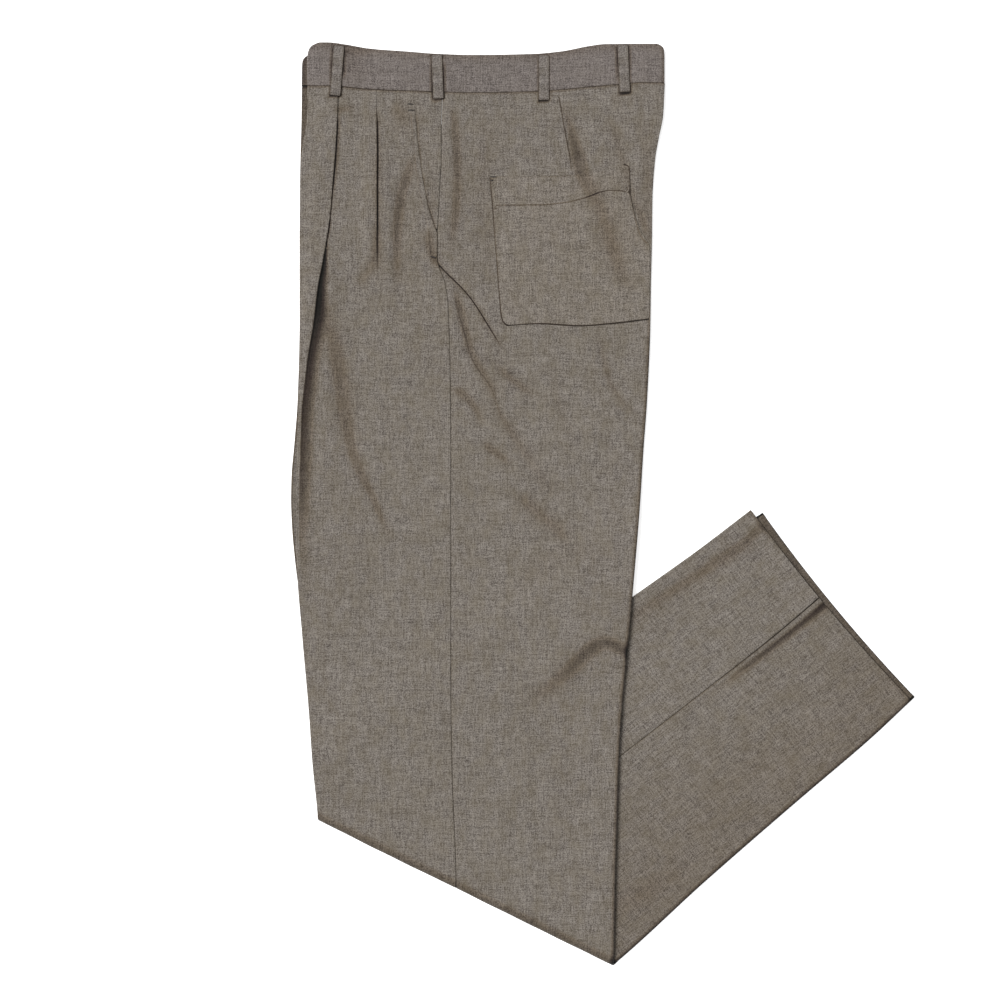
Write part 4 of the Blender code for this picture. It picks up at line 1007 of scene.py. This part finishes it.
def patch_pocket():
    rim_share = np.array(RIM) / 129.0
    steps = np.concatenate([rim_share, np.linspace(0.01, 0.99, 46), 1 - rim_share[::-1]])
    sides = np.array(PATCH_SIDES)
    rows_down = PATCH_TOP + (PATCH_FOOT - PATCH_TOP) * steps
    left = curve(sides[:, :2], rows_down)[:, None]
    right = curve(sides[:, [0, 2]], rows_down)[:, None]
    inset = np.array(RIM + (0.9, 1.6))
    share = np.linspace(0.0, 1.0, 46)[1:-1]
    across = np.concatenate([left + inset, left + 1.6 + (right - left - 3.2) * share,
                             right - inset[::-1]], 1)
    down = patch_down(steps[:, None], (across - 163.0) / (300.0 - 163.0))
    creased, hollow = relief(across, down, LEFT_CREASES)
    edge = np.minimum(np.minimum(across - left, right - across),
                      np.minimum(down - down[0], down[-1] - down))
    rise = 0.25 + CLOTH / 2 + creased + seam_dip(edge, 0.25, 1.3)
    middle = lay(across, down, STACK + rise)
    cut = np.stack([across + PATCH_CUT, down], -1)
    lines = draw(across, down, PATCH_LINES)
    piece = make_sheet("left_patch_pocket", middle, True, thinned(len(across)), thinned(across.shape[1]),
                       cut, hollow, patch_cloth, lines=lines)
    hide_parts("back_pocket_left")
    return piece


patch = patch_pocket()

# ---------------------------------------------------------------------------------------------
# Tacks.  Short close stitches of spun polyester thread, one over the other, that stop both ends of
# each side pocket's mouth and the outer corner of the patch's mouth from tearing.
# ---------------------------------------------------------------------------------------------
THREAD = 0.55               # half a stitch's width
TACK_CUT = 4200.0
MOUTH_TACKS = [(92.8, 51.8, 98.0, 52.1), (93.0, 57.0, 98.8, 57.3), (112.2, 182.2, 117.6, 183.6)]
PATCH_TACKS = [(163.3, 114.0, 169.2, 114.1), (163.6, 117.2, 166.4, 117.2)]


def polyester_thread():
    """Spun thread: a dull dark brown-grey, its twist a row of fine slanting bands under half a
    millimetre apart."""
    material = bpy.data.materials.new("spun polyester thread")
    material.use_nodes = True
    tree = material.node_tree
    shader = tree.nodes["Principled BSDF"]
    shader.inputs["Roughness"].default_value = 0.6
    cloth = add(tree, "ShaderNodeUVMap", uv_map="cloth").outputs["UV"]
    twist = add(tree, "ShaderNodeTexWave", {"Vector": cloth, "Scale": 700.0, "Distortion": 1.0},
                bands_direction="DIAGONAL")
    shades = add(tree, "ShaderNodeValToRGB", {"Fac": twist.outputs["Fac"]})
    shades.color_ramp.elements[0].color = colour("#1d1917")
    shades.color_ramp.elements[1].color = colour("#352f2b")
    tree.links.new(shades.outputs["Color"], shader.inputs["Base Color"])
    return material


thread = polyester_thread()


def tacks(name, places, cloth_piece, is_left):
    """Lay each stitch on the cloth it holds, as a thin bar that dives in at both ends."""
    cloth = BVHTree.FromPolygons([v.co.copy() for v in cloth_piece.data.vertices],
                                 [p.vertices[:] for p in cloth_piece.data.polygons])
    up = 1.0 if is_left else -1.0
    points, faces, cut = [], [], []
    around, rings = 8, 9
    for start_across, start_down, end_across, end_down in places:
        length = math.hypot(end_across - start_across, end_down - start_down)
        ahead = np.array([end_across - start_across, start_down - end_down]) / length
        base = len(points)
        for ring in range(rings):
            t = ring / (rings - 1)
            x, y, _ = lay(start_across + (end_across - start_across) * t,
                          start_down + (end_down - start_down) * t, 0.0)
            hit = cloth.ray_cast((x, y, 0.1 * up), (0, 0, -up))[0]
            thick = THREAD / 1000.0 * (0.35 + 0.65 * math.sin(math.pi * t) ** 0.4)
            for k in range(around):
                turn = 2 * math.pi * k / around
                aside = thick * math.cos(turn)
                points.append((x - ahead[1] * aside, y + ahead[0] * aside,
                               hit[2] + up * (0.5 * thick + 0.8 * thick * math.sin(turn))))
                cut.append((TACK_CUT + length * t, start_down + THREAD * turn))
        for ring in range(rings - 1):
            for k in range(around):
                near, far = base + ring * around, base + (ring + 1) * around
                quad = (near + k, near + (k + 1) % around, far + (k + 1) % around, far + k)
                faces.append(quad if is_left else quad[::-1])
        caps = [[base + k for k in range(around)][::-1],
                [base + (rings - 1) * around + k for k in range(around)]]
        faces += caps if is_left else [cap[::-1] for cap in caps]
    return make_mesh(name, points, faces, np.array(cut), np.zeros((len(points), 3)), thread)


tacks("left_mouth_tacks", MOUTH_TACKS, left_front, True)
tacks("right_mouth_tacks", MOUTH_TACKS, right_front, False)
tacks("left_patch_tacks", PATCH_TACKS, patch, True)

# ---------------------------------------------------------------------------------------------
# Studio.  A white table under a broad soft light from above and the left; the camera looks
# straight down.
# ---------------------------------------------------------------------------------------------
TABLE_REACH, TABLE_DROP = 6.0, 0.0004
# Matt white paper, glowing a little so that only a faint shadow shows along the cloth's edges
paper = bpy.data.materials.new("white paper")
paper.use_nodes = True
tree = paper.node_tree
shader = tree.nodes["Principled BSDF"]
shader.inputs["Roughness"].default_value = 0.95
shader.inputs["Emission Color"].default_value = colour("#ffffff")
shader.inputs["Emission Strength"].default_value = 0.62
place = add(tree, "ShaderNodeTexCoord").outputs["Object"]
mottle = add(tree, "ShaderNodeTexNoise", {"Vector": place, "Scale": 6.0, "Detail": 2.0})
ramp = add(tree, "ShaderNodeValToRGB", {"Fac": mottle.outputs["Fac"]})
ramp.color_ramp.elements[0].color = colour("#f8f8f8")
ramp.color_ramp.elements[1].color = colour("#fbfbfb")
tree.links.new(ramp.outputs["Color"], shader.inputs["Base Color"])
floor_mesh = bpy.data.meshes.new("table")
floor_mesh.from_pydata([(-TABLE_REACH, -TABLE_REACH, 0), (TABLE_REACH, -TABLE_REACH, 0),
                        (TABLE_REACH, TABLE_REACH, 0), (-TABLE_REACH, TABLE_REACH, 0)], [], [(0, 1, 2, 3)])
floor_mesh.materials.append(paper)
table = bpy.data.objects.new("table", floor_mesh)
table.location = (0, 0, -TABLE_DROP)
bpy.context.collection.objects.link(table)


def hang(name, light, place):
    """Hang a light so that it points at the middle of the table."""
    lamp = bpy.data.objects.new(name, light)
    lamp.location = place
    aim = -np.array(place, float) / np.linalg.norm(place)
    lamp.rotation_euler = (math.acos(-aim[2]), 0.0, math.atan2(aim[1], aim[0]) - math.pi / 2)
    bpy.context.collection.objects.link(lamp)


window = bpy.data.lights.new("large softbox", "SUN")
window.energy, window.angle = 2.72, math.radians(30)
hang("large softbox", window, (-1.35, 0.3, 2.6))
top = bpy.data.lights.new("top softbox", "AREA")
top.shape, top.size, top.energy = "SQUARE", 2.4, 26.0
hang("top softbox", top, (-0.2, 0.0, 3.2))

world = bpy.data.worlds.new("studio")
world.use_nodes = True
world.node_tree.nodes["Background"].inputs["Color"].default_value = colour("#f6f7fa")
world.node_tree.nodes["Background"].inputs["Strength"].default_value = 0.2
bpy.context.scene.world = world
bpy.context.scene.view_settings.view_transform = "Standard"

view = bpy.data.cameras.new("camera")
CAMERA_HEIGHT, VIEW_WIDTH = 2.6, 0.86
view.lens = view.sensor_width * CAMERA_HEIGHT / VIEW_WIDTH
camera = bpy.data.objects.new("camera", view)
camera.location = (-0.0886, 0.0034, CAMERA_HEIGHT)
bpy.context.collection.objects.link(camera)
bpy.context.scene.camera = camera
